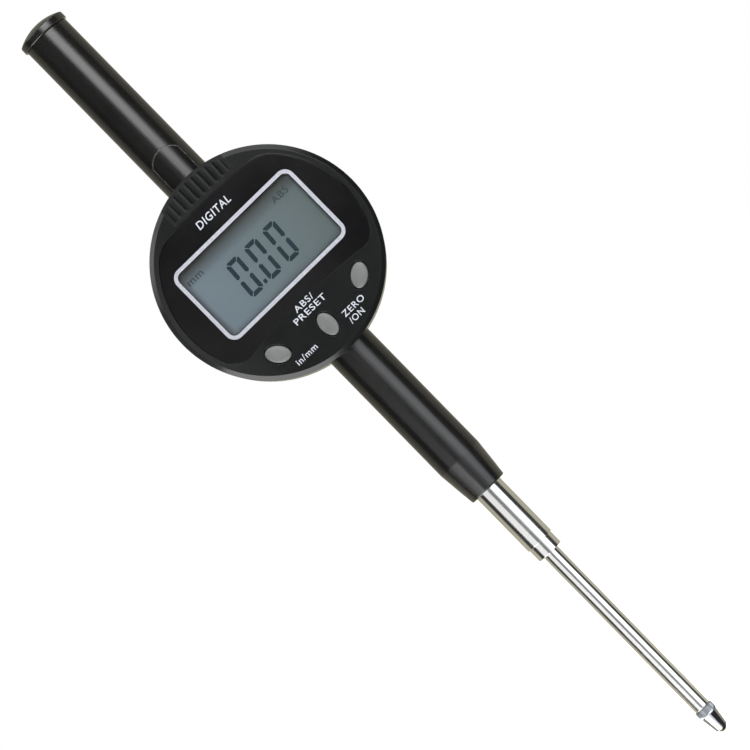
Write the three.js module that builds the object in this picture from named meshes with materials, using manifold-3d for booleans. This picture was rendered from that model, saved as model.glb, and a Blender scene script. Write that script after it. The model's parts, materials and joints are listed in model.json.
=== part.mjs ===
// Digital dial indicator: a round display body on a long guide tube, with an 8 mm stem, a spring-loaded
// spindle that rises through the body, and a lug back. Millimetres, +Z up along the spindle, the display
// faces -Y, and the origin is on the spindle's axis at mid-length of the stem.
import * as THREE from "three";
import { mergeVertices } from "three/addons/utils/BufferGeometryUtils.js";
import Module from "manifold-3d";

const wasm = await Module();
wasm.setup();

// ---------------------------------------------------------------- driving dimensions

const TRAVEL = 50.8; // spindle stroke, two inches
const RUN = 0.05; // radial clearance of a running fit

const STEM_R = 4; // 8 mm mounting stem
const STEM_LENGTH = 22.5;
const STEM_TOP = STEM_LENGTH / 2;
const SPINDLE_R = 2.3;
const TUBE_R = 6.5;
const TUBE_WALL = 0.9;
const BODY_R = 29.8;
const BODY_Z = 90.9; // height of the body's centre above the origin
const FRONT_Y = -12.5; // the face
const SPLIT_Y = -9.5; // joint between the front cover and the rear case
const BACK_Y = 8.5; // back of the rear case
const CASE_WALL = 1.6;
const RIM = { width: 1.2, depth: 0.75 }; // the front rim's chamfer
const BACK_ROLL = 1.2; // radius of the rounded back rim
const TUBE_TOP = 172.3;
const TAPER_TOP = 21.7;
const TAPER_END_R = 5.45;
const CONTACT_TOP = -66.4; // where the contact point's collar starts
const CONTACT_LENGTH = 8.1; // collar to ball end

const BODY_SIDES = 64; // facets of the large round shapes
const TUBE_SIDES = 32;
const INNER_R = BODY_R - CASE_WALL;
const TUBE_BORE = TUBE_R - TUBE_WALL;
const TUBE_INSET = Math.sqrt(INNER_R ** 2 - TUBE_R ** 2) + 0.7; // tube end, from the body's centre

const COLOURS = {
  satinBlack: { color: 0x1c1c1b, roughness: 0.38, metalness: 0.2 },
  plastic: { color: 0x2a2c2c, roughness: 0.6, metalness: 0 },
  lens: { color: 0x0c0c0d, roughness: 0.08, metalness: 0 },
  glass: { color: 0x76868a, roughness: 0.3, metalness: 0 },
  button: { color: 0x8b8d8d, roughness: 0.45, metalness: 0 },
  steel: { color: 0xc9cbcc, roughness: 0.15, metalness: 1 },
  brass: { color: 0xb48c46, roughness: 0.35, metalness: 1 },
  board: { color: 0x1f5a35, roughness: 0.5, metalness: 0 },
  rubber: { color: 0x1a1a1a, roughness: 0.9, metalness: 0 },
  aluminium: { color: 0xb4b6b8, roughness: 0.4, metalness: 1 },
  carbide: { color: 0x9ea2a6, roughness: 0.1, metalness: 1 },
};

// ---------------------------------------------------------------- solids

// A geometry as a manifold-3d solid.
function solid(geometry) {
  const bare = geometry.index ? geometry.toNonIndexed() : geometry.clone();
  bare.deleteAttribute("normal");
  bare.deleteAttribute("uv");
  const merged = mergeVertices(bare, 1e-4);
  return new wasm.Manifold(
    new wasm.Mesh({
      numProp: 3,
      vertProperties: merged.attributes.position.array,
      triVerts: new Uint32Array(merged.index.array),
    }),
  );
}

// A manifold-3d solid as a geometry.
function geometryOf(shape) {
  const mesh = shape.getMesh();
  return new THREE.BufferGeometry()
    .setAttribute("position", new THREE.BufferAttribute(mesh.vertProperties, 3))
    .setIndex(new THREE.BufferAttribute(mesh.triVerts, 1));
}

const unite = (shapes) => shapes.reduce((whole, next) => whole.add(next));
const cut = (shape, tools) => tools.reduce((left, tool) => left.subtract(tool), shape);

// A box between two corners.
function box([x0, y0, z0], [x1, y1, z1]) {
  const g = new THREE.BoxGeometry(x1 - x0, y1 - y0, z1 - z0);
  g.translate((x0 + x1) / 2, (y0 + y1) / 2, (z0 + z1) / 2);
  return solid(g);
}

// A body of revolution about +Z from [radius, z] points, listed upwards, closed along the axis.
function turned(points, segments = 32) {
  const outline = points.map(([r, z]) => new THREE.Vector2(r, z));
  return solid(new THREE.LatheGeometry(outline, segments).rotateX(Math.PI / 2));
}

// A plain rod about +Z between two heights.
const rod = (r, z0, z1, segments = 32) => turned([[0, z0], [r, z0], [r, z1], [0, z1]], segments);

// A tube about +Z: a rod with a bore right through it.
const pipe = (outer, inner, z0, z1, segments = 32) =>
  rod(outer, z0, z1, segments).subtract(rod(inner, z0 - 1, z1 + 1, segments));

// Moves a solid so that its +Z axis points along -Y, with its z = 0 plane at y and its axis at (x, z).
const facing = (shape, x, y, z) => shape.rotate([90, 0, 0]).translate([x, y, z]);

// A disc facing -Y between two depths (near is the smaller y), centred at (x, z).
const disc = (r, near, far, x = 0, z = BODY_Z, segments = 24) =>
  facing(rod(r, 0, far - near, segments), x, far, z);

// A flat outline in x and z (relative to the body's centre), extruded between two depths.
function slab(shape, near, far, curveSegments = 8) {
  const g = new THREE.ExtrudeGeometry(shape, { depth: far - near, bevelEnabled: false, curveSegments });
  return solid(g.rotateX(Math.PI / 2).translate(0, far, BODY_Z));
}

// ---------------------------------------------------------------- the group

const indicator = new THREE.Group();
indicator.name = "dial_indicator";

function place(name, shape, look) {
  const mesh = new THREE.Mesh(geometryOf(shape), new THREE.MeshStandardMaterial(COLOURS[look]));
  mesh.name = name;
  indicator.add(mesh);
}

// ---------------------------------------------------------------- display window

const LENS = {
  r: 27.3, // side arcs
  top: 22.1, // height of the middle of the top edge over the body's centre
  bottom: -12.7,
  topBow: 1.2, // how far the control point of each bowed edge stands off
  bottomBow: 2.6,
  topCorner: 9,
  bottomCorner: 5.5,
  thickness: 1.1,
  recess: 0.25,
};

// The lens outline, grown by a margin: side arcs, bowed top and bottom edges and round corners.
function lensOutline(margin = 0) {
  const r = LENS.r + margin;
  const corner = (edge, radius) => {
    const z = edge - Math.sign(edge) * radius;
    return { x: Math.sqrt((r - radius) ** 2 - z ** 2), z, radius };
  };
  const top = corner(LENS.top - LENS.topBow / 2 + margin, LENS.topCorner);
  const bottom = corner(LENS.bottom - LENS.bottomBow / 2 - margin, LENS.bottomCorner);
  const side = (c) => Math.atan2(c.z, c.x);
  const shape = new THREE.Shape();
  shape.absarc(0, 0, r, side(bottom), side(top), false);
  shape.absarc(top.x, top.z, top.radius, side(top), Math.PI / 2, false);
  shape.quadraticCurveTo(0, top.z + top.radius + LENS.topBow, -top.x, top.z + top.radius);
  shape.absarc(-top.x, top.z, top.radius, Math.PI / 2, Math.PI - side(top), false);
  shape.absarc(0, 0, r, Math.PI - side(top), Math.PI - side(bottom), false);
  shape.absarc(-bottom.x, bottom.z, bottom.radius, Math.PI - side(bottom), 1.5 * Math.PI, false);
  const low = bottom.z - bottom.radius;
  shape.quadraticCurveTo(0, low + LENS.bottomBow, bottom.x, low);
  shape.absarc(bottom.x, bottom.z, bottom.radius, -Math.PI / 2, side(bottom), false);
  return shape;
}

const LENS_FRONT = FRONT_Y + LENS.recess;
const LENS_BACK = LENS_FRONT + LENS.thickness;
const GLASS = { x: 20.6, bottom: -10.1, top: 14.7, front: LENS_BACK + 0.3, back: LENS_BACK + 2.1 };
const HOLDER_WALL = 1.2;

function displayLens() {
  return slab(lensOutline(), LENS_FRONT, LENS_BACK);
}

function lcdPanel() {
  return box([-GLASS.x, GLASS.front, BODY_Z + GLASS.bottom], [GLASS.x, GLASS.back, BODY_Z + GLASS.top]);
}

// ---------------------------------------------------------------- buttons

const BUTTON = { long: 3.3, short: 2.15, proud: 0.55, travel: 0.5, flange: 0.6 };
const BUTTONS = {
  unit: { x: -14.25, z: -18.4, turn: 135 },
  preset: { x: 0, z: -21.7, turn: 90 },
  zero: { x: 14.25, z: -18.4, turn: 45 },
};

// A disc facing -Y, stretched to the button's oval and turned to its place.
function oval(grow, near, far, { x, z, turn }, segments = 24) {
  const a = BUTTON.long + grow;
  const b = BUTTON.short + grow;
  return rod(1, 0, far - near, segments)
    .scale([a, b, 1])
    .rotate([0, 0, turn])
    .rotate([90, 0, 0])
    .translate([x, far, BODY_Z + z]);
}

const COVER_INNER_Y = FRONT_Y + 1.9; // back of the face plate
const BUTTON_STOP_Y = COVER_INNER_Y + 0.05; // the flange rests just behind the face plate

function button(at) {
  const rim = oval(0, FRONT_Y - BUTTON.proud + 0.35, BUTTON_STOP_Y + BUTTON.flange, at);
  const crown = oval(-0.45, FRONT_Y - BUTTON.proud, FRONT_Y - BUTTON.proud + 0.4, at);
  const flange = oval(0.8, BUTTON_STOP_Y, BUTTON_STOP_Y + BUTTON.flange, at);
  return unite([rim, crown, flange]);
}

// ---------------------------------------------------------------- battery door

// The plate's front carries a field of half-round ridges side by side.
const DOOR = { x: 10.4, low: LENS.top + 0.6, thickness: 1.0, gap: 0.06 };
const RIDGE = { count: 9, pitch: 2.13, height: 0.45, low: DOOR.low + 0.5 };
const BATTERY = { r: 5.8, thickness: 3.6, z: 21.95 };

// The cover's plan: from above the lens to beyond the rim, with straight sides, grown by a margin.
const doorPlan = (margin, near, far) =>
  box(
    [-DOOR.x - margin, near, BODY_Z + DOOR.low - margin],
    [DOOR.x + margin, far, BODY_Z + BODY_R + DOOR.low],
  );

// One ridge along Z, an ellipse in section whose widest level lies at the bottom of the valleys.
const ridge = (x) =>
  rod(1, 0, BODY_R, 24)
    .scale([RIDGE.pitch / 2, RIDGE.height, 1])
    .translate([x, FRONT_Y + RIDGE.height, BODY_Z + RIDGE.low - 1]);

function batteryCover() {
  const plate = doorPlan(0, FRONT_Y - 1, FRONT_Y + DOOR.thickness).intersect(coverBlank());
  const half = (RIDGE.count * RIDGE.pitch) / 2;
  const field = box(
    [-half, FRONT_Y - 1, BODY_Z + RIDGE.low],
    [half, FRONT_Y + RIDGE.height, BODY_Z + BODY_R + 1],
  );
  const ridges = Array.from({ length: RIDGE.count }, (_, i) => ridge((i + 0.5) * RIDGE.pitch - half));
  return plate.subtract(cut(field, ridges));
}

// ---------------------------------------------------------------- front cover and rear case

const BOSS = { r: 2.5, at: 25.1, angles: [60, 120, 250, 290] }; // clear of the display and the buttons
const SCREW_R = 1.0;
const LUG = {
  plateR: 21,
  plate: 2.2,
  screwAt: 17.2,
  angles: [45, 135, 225, 315],
  thickness: 7,
  reach: 13.5, // from the case to the tip of the ear
  holeR: 3.25,
  height: 9,
};
const BACK_SCREW_R = 0.9;
const BACK_HEAD_R = 1.8;
const CASE_HEAD_R = 2.0;

// A place at a given direction and distance from the body's axis, as [x, z].
function polar(degrees, distance) {
  const a = THREE.MathUtils.degToRad(degrees);
  return [distance * Math.cos(a), BODY_Z + distance * Math.sin(a)];
}

// The cover's section turned about the body's axis: flat face, broad chamfer, straight side.
function coverBlank() {
  const depth = SPLIT_Y - FRONT_Y;
  const side = depth - RIM.depth;
  const profile = [[0, 0], [BODY_R, 0], [BODY_R, side - 0.1], [BODY_R - 0.1, side]];
  profile.push([BODY_R - RIM.width, depth], [0, depth]);
  return facing(turned(profile, BODY_SIDES), 0, SPLIT_Y, BODY_Z);
}

function frontCover() {
  const hollow = disc(INNER_R, COVER_INNER_Y, SPLIT_Y + 1, 0, BODY_Z, BODY_SIDES);
  const bosses = BOSS.angles.map((d) => {
    const [x, z] = polar(d, BOSS.at);
    return disc(BOSS.r, COVER_INNER_Y - 0.5, SPLIT_Y, x, z, 16);
  });
  const bossHoles = BOSS.angles.map((d) => {
    const [x, z] = polar(d, BOSS.at);
    return disc(SCREW_R + RUN, COVER_INNER_Y + 0.1, SPLIT_Y + 1, x, z, 12);
  });
  const pocket = slab(lensOutline(0.1), FRONT_Y - 1, LENS_BACK + 0.05);
  const window = box(
    [-GLASS.x - 0.3, FRONT_Y, BODY_Z + GLASS.bottom - 0.3],
    [GLASS.x + 0.3, SPLIT_Y, BODY_Z + GLASS.top + 0.3],
  );
  const buttonHoles = Object.values(BUTTONS).map((at) => oval(0.25, FRONT_Y - 1, COVER_INNER_Y + 1, at));
  const door = doorPlan(DOOR.gap, FRONT_Y - 1, FRONT_Y + DOOR.thickness + 0.1);
  const hatch = box(
    [-BATTERY.r - 0.6, FRONT_Y, BODY_Z + DOOR.low + 0.4],
    [BATTERY.r + 0.6, SPLIT_Y, BODY_Z + INNER_R - 0.3],
  );
  const shell = cut(coverBlank(), [hollow]).add(unite(bosses));
  return cut(shell, [pocket, window, door, hatch, ...buttonHoles, ...bossHoles]);
}

function rearCase() {
  const near = SPLIT_Y + 0.02;
  const depth = BACK_Y - near;
  const profile = [[0, 0]];
  for (let i = 3; i >= 0; i--) {
    const a = (i * Math.PI) / 6;
    profile.push([BODY_R - BACK_ROLL * (1 - Math.cos(a)), BACK_ROLL * (1 - Math.sin(a))]);
  }
  profile.push([BODY_R, depth], [0, depth]);
  const blank = facing(turned(profile, BODY_SIDES), 0, BACK_Y, BODY_Z);
  const hollow = disc(INNER_R, near - 1, BACK_Y - CASE_WALL, 0, BODY_Z, BODY_SIDES);
  const bosses = BOSS.angles.map((d) => {
    const [x, z] = polar(d, BOSS.at);
    return disc(BOSS.r, near + 0.2, BACK_Y - CASE_WALL + 0.2, x, z, 16);
  });
  const screwWays = BOSS.angles.map((d) => {
    const [x, z] = polar(d, BOSS.at);
    const shank = disc(SCREW_R + RUN, near - 1, BACK_Y + 1, x, z, 12);
    return shank.add(disc(CASE_HEAD_R + RUN, BACK_Y - 1.5, BACK_Y + 1, x, z, 16));
  });
  const tubeHole = rod(TUBE_R + RUN, BODY_Z - BODY_R - 5, BODY_Z + BODY_R + 5, TUBE_SIDES);
  const backScrews = LUG.angles.map((d) => {
    const [x, z] = polar(d, LUG.screwAt);
    return disc(BACK_SCREW_R + RUN, BACK_Y - CASE_WALL - 1, BACK_Y + 1, x, z, 12);
  });
  const shell = cut(blank, [hollow]).add(unite(bosses));
  return cut(shell, [...screwWays, tubeHole, ...backScrews]);
}

function caseScrew(degrees) {
  const [x, z] = polar(degrees, BOSS.at);
  const shank = disc(SCREW_R, COVER_INNER_Y + 0.4, BACK_Y - 1.2, x, z, 12);
  const head = disc(CASE_HEAD_R, BACK_Y - 1.45, BACK_Y - 0.2, x, z, 16);
  return shank.add(head).subtract(crossRecess(x, BACK_Y - 0.2, z));
}

// A cross recess sunk into a screw head whose top is at y.
function crossRecess(x, y, z, span = 1.1, width = 0.3) {
  const bar = (a, b) => box([x - a, y - 0.7, z - b], [x + a, y + 1, z + b]);
  return bar(span, width).add(bar(width, span));
}

// ---------------------------------------------------------------- lug back

const LUG_FACE_Y = BACK_Y + 0.02;

function lugBack() {
  const plate = disc(LUG.plateR, LUG_FACE_Y, LUG_FACE_Y + LUG.plate, 0, BODY_Z, BODY_SIDES);
  const half = LUG.thickness / 2;
  const centre = LUG_FACE_Y + LUG.reach - LUG.height / 2;
  const across = (r, length) =>
    rod(r, -length, length, 32).rotate([0, 90, 0]).translate([0, centre, BODY_Z]);
  const ear = across(LUG.height / 2, half);
  const root = box(
    [-half, LUG_FACE_Y + LUG.plate - 0.2, BODY_Z - LUG.height / 2],
    [half, centre, BODY_Z + LUG.height / 2],
  );
  const back = LUG_FACE_Y + LUG.plate;
  const seats = LUG.angles.map((d) => {
    const [x, z] = polar(d, LUG.screwAt);
    const shank = disc(BACK_SCREW_R + RUN, LUG_FACE_Y - 1, back + 1, x, z, 12);
    const seat = disc(BACK_HEAD_R + RUN, back - 1.1, back + 1, x, z, 16);
    return shank.add(seat);
  });
  return cut(unite([plate, root, ear]), [across(LUG.holeR, LUG.thickness), ...seats]);
}

function backScrew(degrees) {
  const [x, z] = polar(degrees, LUG.screwAt);
  const top = LUG_FACE_Y + LUG.plate - 0.1;
  const shank = disc(BACK_SCREW_R, BACK_Y - CASE_WALL - 0.6, top - 0.9, x, z, 12);
  const head = disc(BACK_HEAD_R, top - 0.95, top, x, z, 16);
  return shank.add(head).subtract(crossRecess(x, top, z, 1.0, 0.28));
}

// ---------------------------------------------------------------- tubes, cap and stem

const SLOT = { half: 4.45, top: 130.85, endR: 5.25, gap: 0.1 };

// The slot's plan, straight with a shallow round end, as a prism through the front wall of the tube.
function slotPrism(margin) {
  const half = SLOT.half + margin;
  const r = SLOT.endR + margin;
  const low = TUBE_INSET - 5;
  const corner = Math.acos(half / r);
  const plan = new THREE.Shape();
  plan.moveTo(-half, low);
  plan.lineTo(half, low);
  plan.absarc(0, SLOT.top - BODY_Z - SLOT.endR, r, corner, Math.PI - corner, false);
  return slab(plan, -TUBE_R - 1, -1, 16);
}

const upperTubeBlank = () => pipe(TUBE_R, TUBE_BORE, BODY_Z + TUBE_INSET, TUBE_TOP, TUBE_SIDES);

function upperTube() {
  return upperTubeBlank().subtract(slotPrism(SLOT.gap));
}

function tubeSlotCover() {
  return upperTubeBlank().intersect(slotPrism(0));
}

const CAP = { r: 7.0, flange: 1.9, dome: 1.85, plug: 6 };

function tubeCap() {
  const base = TUBE_TOP + 0.05;
  const edge = base + CAP.flange;
  const domeR = (CAP.r ** 2 + CAP.dome ** 2) / (2 * CAP.dome);
  const profile = [[0, base - 0.2]];
  profile.push([CAP.r, base - 0.2], [CAP.r, edge]);
  const half = Math.asin(CAP.r / domeR);
  for (let i = 1; i <= 6; i++) {
    const a = half * (1 - i / 6);
    profile.push([domeR * Math.sin(a), edge + CAP.dome - domeR * (1 - Math.cos(a))]);
  }
  const head = turned(profile, TUBE_SIDES).subtract(rod(CAP.r + 1, base - 1, base, TUBE_SIDES));
  const plug = pipe(TUBE_BORE - 0.1, TUBE_BORE - 1.1, base - CAP.plug, base + 0.2, TUBE_SIDES);
  return head.add(plug);
}

const UPPER_BUSH = { low: STEM_TOP + 1.6, high: STEM_TOP + 8.6 };
const NARROWING = 1.2; // the lower tube's bore is smaller inside the taper

function lowerTube() {
  const end = STEM_TOP;
  const top = BODY_Z - TUBE_INSET;
  const profile = [[0, end], [TAPER_END_R - 0.35, end], [TAPER_END_R, end + 0.35]];
  profile.push([TUBE_R, TAPER_TOP], [TUBE_R, top], [0, top]);
  const outer = turned(profile, TUBE_SIDES);
  const floor = UPPER_BUSH.low - 0.05;
  const narrow = TUBE_BORE - NARROWING;
  const hollow = [[0, floor], [narrow, floor], [narrow, TAPER_TOP]];
  hollow.push([TUBE_BORE, TAPER_TOP + 1.5], [TUBE_BORE, BODY_Z], [0, BODY_Z]);
  const bore = turned(hollow, TUBE_SIDES);
  const stemSocket = rod(STEM_R - 0.5, end - 1, UPPER_BUSH.low + 1, 32);
  return cut(outer, [bore, stemSocket]);
}

const STEM_NECK_R = 3.68;

function stem() {
  const low = -STEM_LENGTH / 2;
  const step = low + 3.8;
  const top = STEM_TOP - 0.02;
  const spigotR = STEM_R - 0.55; // what enters the lower tube
  const spigotTop = UPPER_BUSH.low - 0.1;
  const profile = [[0, low], [STEM_NECK_R - 0.15, low], [STEM_NECK_R, low + 0.15], [STEM_NECK_R, step]];
  profile.push([STEM_R, step + 0.1], [STEM_R, top]);
  profile.push([spigotR, top], [spigotR, spigotTop], [0, spigotTop]);
  return turned(profile).subtract(rod(LOWER_BUSH.r + RUN, low - 1, STEM_TOP + 5, 32));
}

const LOWER_BUSH = { r: 3.0, low: -STEM_LENGTH / 2 + 0.3, length: 7 };

function lowerBush() {
  return pipe(LOWER_BUSH.r, SPINDLE_R + RUN, LOWER_BUSH.low, LOWER_BUSH.low + LOWER_BUSH.length, 32);
}

function upperBush() {
  return pipe(TUBE_BORE - NARROWING - RUN, SPINDLE_R + RUN, UPPER_BUSH.low, UPPER_BUSH.high, 32);
}

const BUMPER_TOP = UPPER_BUSH.high + 2;

function bumper() {
  return pipe(TUBE_BORE - 1.6, SPINDLE_R + 0.25, UPPER_BUSH.high + 0.02, BUMPER_TOP, 32);
}

// ---------------------------------------------------------------- spindle and what moves with it

const SPINDLE_TOP = BODY_Z + 27;
const THREAD_R = 1.25; // M2.5 thread of the contact point

function spindle() {
  const low = CONTACT_TOP + 0.02;
  const profile = [[0, low], [SPINDLE_R - 0.1, low], [SPINDLE_R, low + 0.1]];
  profile.push([SPINDLE_R, SPINDLE_TOP - 0.5], [SPINDLE_R - 0.5, SPINDLE_TOP], [0, SPINDLE_TOP]);
  return turned(profile).subtract(rod(THREAD_R + RUN, low - 1, low + 7, 16));
}

const TIP = { collarR: 2.6, collar: 2.4, coneTopR: 2.38, coneEndR: 1.72, cone: 4.75, ballR: 1.5 };

function contactPoint() {
  const top = CONTACT_TOP;
  const coneEnd = top - TIP.collar - TIP.cone;
  const profile = [[0, coneEnd], [TIP.coneEndR, coneEnd], [TIP.coneTopR, top - TIP.collar]];
  profile.push([TIP.collarR, top - TIP.collar + 0.25], [TIP.collarR, top - 0.25]);
  profile.push([TIP.collarR - 0.25, top], [THREAD_R, top], [THREAD_R, top + 6], [0, top + 6]);
  const socketTop = top - CONTACT_LENGTH + 2 * TIP.ballR + 0.05;
  return turned(profile).subtract(rod(TIP.ballR + 0.06, coneEnd - 1, socketTop, 24));
}

function contactBall() {
  const centre = CONTACT_TOP - CONTACT_LENGTH + TIP.ballR;
  const outline = [[0, centre - TIP.ballR]];
  for (let i = 1; i <= 5; i++) {
    const a = -Math.PI / 2 + (i * Math.PI) / 6;
    outline.push([TIP.ballR * Math.cos(a), centre + TIP.ballR * Math.sin(a)]);
  }
  outline.push([0, centre + TIP.ballR]);
  return turned(outline, 16);
}

const CARRIER = {
  low: BUMPER_TOP + 0.05,
  high: BODY_Z + 13.5,
  half: 2.6,
  front: -3.2,
  ringR: 4.3,
  ring: 5,
};
const STRIP = { low: CARRIER.low + 6, high: CARRIER.high - 0.8, half: 3.0, thickness: 0.8 };
const SPRING = { x: 4.05, coilR: 0.85, wire: 0.17, turns: 16, low: TAPER_TOP + 5, high: BODY_Z + 11 };
const PIN_Z = BODY_Z - 26.0;
const PIN_R = 0.75;
const CARRIER_SCREWS = [CARRIER.low + CARRIER.ring / 2, CARRIER.high - CARRIER.ring / 2];

// A bar in front of the spindle, with a clamp ring at each end, a ring at the guide pin and an ear for
// the spring.
function scaleCarrier() {
  const ringBlock = (low) => {
    const ring = rod(CARRIER.ringR, low, low + CARRIER.ring, 32);
    const free = SPRING.x - 1.3; // the rings stop short of the spring
    return ring.intersect(box([-CARRIER.ringR, CARRIER.front + 0.05, low - 1], [free, 5, low + 9]));
  };
  const bar = box(
    [-CARRIER.half, CARRIER.front, CARRIER.low],
    [CARRIER.half, -SPINDLE_R - 0.2, CARRIER.high],
  );
  const rings = [CARRIER.low, PIN_Z - CARRIER.ring / 2, CARRIER.high - CARRIER.ring].map(ringBlock);
  const ear = box([0, -0.8, SPRING.high + 0.25], [SPRING.x + 0.7, 0.8, CARRIER.high]);
  const bore = rod(SPINDLE_R + RUN, CARRIER.low - 1, CARRIER.high + 1, 32);
  const pinHole = rod(PIN_R + 0.03, 0, 10, 12).rotate([-90, 0, 0]).translate([0, 0, PIN_Z]);
  const screwHoles = CARRIER_SCREWS.map((z) => screwAcross(0.63, 1.33, z));
  return cut(unite([bar, ...rings, ear]), [bore, pinHole, ...screwHoles]);
}

// A small set screw along X that enters a clamp ring from its left side.
function screwAcross(r, headR, z) {
  const left = -CARRIER.ringR - 0.4;
  const shank = rod(r, left, -SPINDLE_R - 0.12, 12);
  const head = rod(headR, left, left + 0.9, 16);
  return shank.add(head).rotate([0, 90, 0]).translate([0, 0.6, z]);
}

function carrierScrew(z) {
  const left = -CARRIER.ringR - 0.4;
  const slot = box([left - 1, 0.6 - 0.15, z - 2], [left + 0.35, 0.6 + 0.15, z + 2]);
  return screwAcross(0.6, 1.3, z).subtract(slot);
}

function scaleStrip() {
  const front = CARRIER.front - 0.02;
  return box([-STRIP.half, front - STRIP.thickness, STRIP.low], [STRIP.half, front, STRIP.high]);
}

const RAIL = {
  near: 4.45,
  back: BACK_Y - CASE_WALL - 0.02,
  half: 2.2,
  slot: PIN_R + RUN,
  low: PIN_Z - 1,
  high: PIN_Z + TRAVEL + 2.2,
};

function guidePin() {
  return rod(PIN_R, SPINDLE_R + 0.1, RAIL.back - 0.3, 12).rotate([-90, 0, 0]).translate([0, 0, PIN_Z]);
}

function guideRail() {
  const block = box([-RAIL.half, RAIL.near, RAIL.low], [RAIL.half, RAIL.back, RAIL.high]);
  const slot = box(
    [-RAIL.slot, RAIL.near - 1, RAIL.low + 0.2],
    [RAIL.slot, RAIL.back - 0.2, RAIL.high + 1],
  );
  return block.subtract(slot);
}

// The coil as a section swept along a helix, between two hooks' heights.
class Helix extends THREE.Curve {
  getPoint(t, target = new THREE.Vector3()) {
    const a = 2 * Math.PI * SPRING.turns * t;
    const z = SPRING.low + (SPRING.high - SPRING.low) * t;
    return target.set(SPRING.x + SPRING.coilR * Math.cos(a), SPRING.coilR * Math.sin(a), z);
  }
}

function returnSpring() {
  const section = new THREE.Shape();
  section.absarc(0, 0, SPRING.wire, 0, 2 * Math.PI, false);
  const g = new THREE.ExtrudeGeometry(section, {
    steps: SPRING.turns * 6,
    extrudePath: new Helix(),
    bevelEnabled: false,
    curveSegments: 4,
  });
  return solid(g);
}

function springAnchor() {
  const z = SPRING.low - 0.25;
  const hub = box([SPRING.x - 0.9, -0.7, z - 1], [TUBE_BORE + TUBE_WALL - 0.35, 0.7, z]);
  return hub.intersect(rod(TUBE_BORE - 0.03, z - 2, z + 1, TUBE_SIDES));
}

// ---------------------------------------------------------------- electronics

const BOARD = { r: INNER_R - 0.4, front: -5.6, back: -4.5 };
const SWITCH = { half: 2.6, body: 1.6, plungerR: 1.2 };
const BATTERY_NEAR = COVER_INNER_Y + 0.3;

function circuitBoard() {
  const discBlank = disc(BOARD.r, BOARD.front, BOARD.back, 0, BODY_Z, BODY_SIDES);
  const bossNotches = BOSS.angles.map((d) => {
    const [x, z] = polar(d, BOSS.at);
    return disc(BOSS.r + 0.4, BOARD.front - 1, BOARD.back + 1, x, z, 16);
  });
  return cut(discBlank, bossNotches);
}

const chip = () => box([-3.5, BOARD.front - 1.3, BODY_Z - 3.5], [3.5, BOARD.front - 0.02, BODY_Z + 3.5]);

function lcdHolder() {
  const outer = box(
    [-GLASS.x - HOLDER_WALL, COVER_INNER_Y + 0.1, BODY_Z + GLASS.bottom - HOLDER_WALL],
    [GLASS.x + HOLDER_WALL, BOARD.front - 0.02, BODY_Z + GLASS.top + HOLDER_WALL],
  );
  const seat = box(
    [-GLASS.x - 0.1, GLASS.front - 1, BODY_Z + GLASS.bottom - 0.1],
    [GLASS.x + 0.1, GLASS.back + 0.05, BODY_Z + GLASS.top + 0.1],
  );
  const well = box(
    [-GLASS.x + 1, GLASS.front, BODY_Z + GLASS.bottom + 1],
    [GLASS.x - 1, 0, BODY_Z + GLASS.top - 1],
  );
  return cut(outer, [seat, well]);
}

function zebraStrip() {
  const low = BODY_Z + GLASS.bottom + 1.1;
  return box([-GLASS.x + 2, GLASS.back + 0.03, low], [GLASS.x - 2, BOARD.front - 0.03, low + 2]);
}

// A square dome switch on the board with a plunger that reaches the button.
function domeSwitch({ x, z }) {
  const back = BOARD.front - 0.02;
  const body = box(
    [x - SWITCH.half, back - SWITCH.body, BODY_Z + z - SWITCH.half],
    [x + SWITCH.half, back, BODY_Z + z + SWITCH.half],
  );
  const tip = BUTTON_STOP_Y + BUTTON.flange + BUTTON.travel + 0.1;
  return body.add(disc(SWITCH.plungerR, tip, back - SWITCH.body + 0.2, x, BODY_Z + z, 16));
}

function battery() {
  const near = BATTERY_NEAR;
  const z = BODY_Z + BATTERY.z;
  const can = disc(BATTERY.r, near + 0.4, near + BATTERY.thickness, 0, z, 40);
  return can.add(disc(BATTERY.r - 0.9, near, near + 0.5, 0, z, 40));
}

// A leaf behind the cell that runs down to the board.
function batteryContactMinus() {
  const near = BATTERY_NEAR + BATTERY.thickness + 0.05;
  const half = 1.2;
  const low = BODY_Z + BATTERY.z - 2.2;
  const leaf = box([-half, near, low], [half, near + 0.3, low + 5.2]);
  return leaf.add(box([-half, near, low], [half, BOARD.front - 0.02, low + 0.5]));
}

// A leaf beside the cell that stands on the board.
function batteryContactPlus() {
  const x = BATTERY.r + 0.1;
  const z = BODY_Z + BATTERY.z;
  return box([x, BATTERY_NEAR + 1, z - 2], [x + 0.3, BOARD.front - 0.02, z + 2]);
}

// ---------------------------------------------------------------- assembly

place("front_cover", frontCover(), "plastic");
place("display_lens", displayLens(), "lens");
place("lcd_panel", lcdPanel(), "glass");
place("lcd_holder", lcdHolder(), "plastic");
place("zebra_strip", zebraStrip(), "rubber");
place("circuit_board", circuitBoard(), "board");
place("chip", chip(), "rubber");
for (const [name, at] of Object.entries(BUTTONS)) {
  place(`${name}_button`, button(at), "button");
  place(`${name}_switch`, domeSwitch(at), "plastic");
}
place("battery_cover", batteryCover(), "plastic");
place("battery", battery(), "steel");
place("battery_contact_plus", batteryContactPlus(), "brass");
place("battery_contact_minus", batteryContactMinus(), "brass");
place("rear_case", rearCase(), "plastic");
place("lug_back", lugBack(), "satinBlack");
BOSS.angles.forEach((degrees, i) => place(`case_screw_${i + 1}`, caseScrew(degrees), "steel"));
LUG.angles.forEach((degrees, i) => place(`back_screw_${i + 1}`, backScrew(degrees), "steel"));
place("upper_tube", upperTube(), "satinBlack");
place("tube_slot_cover", tubeSlotCover(), "satinBlack");
place("tube_cap", tubeCap(), "satinBlack");
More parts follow.
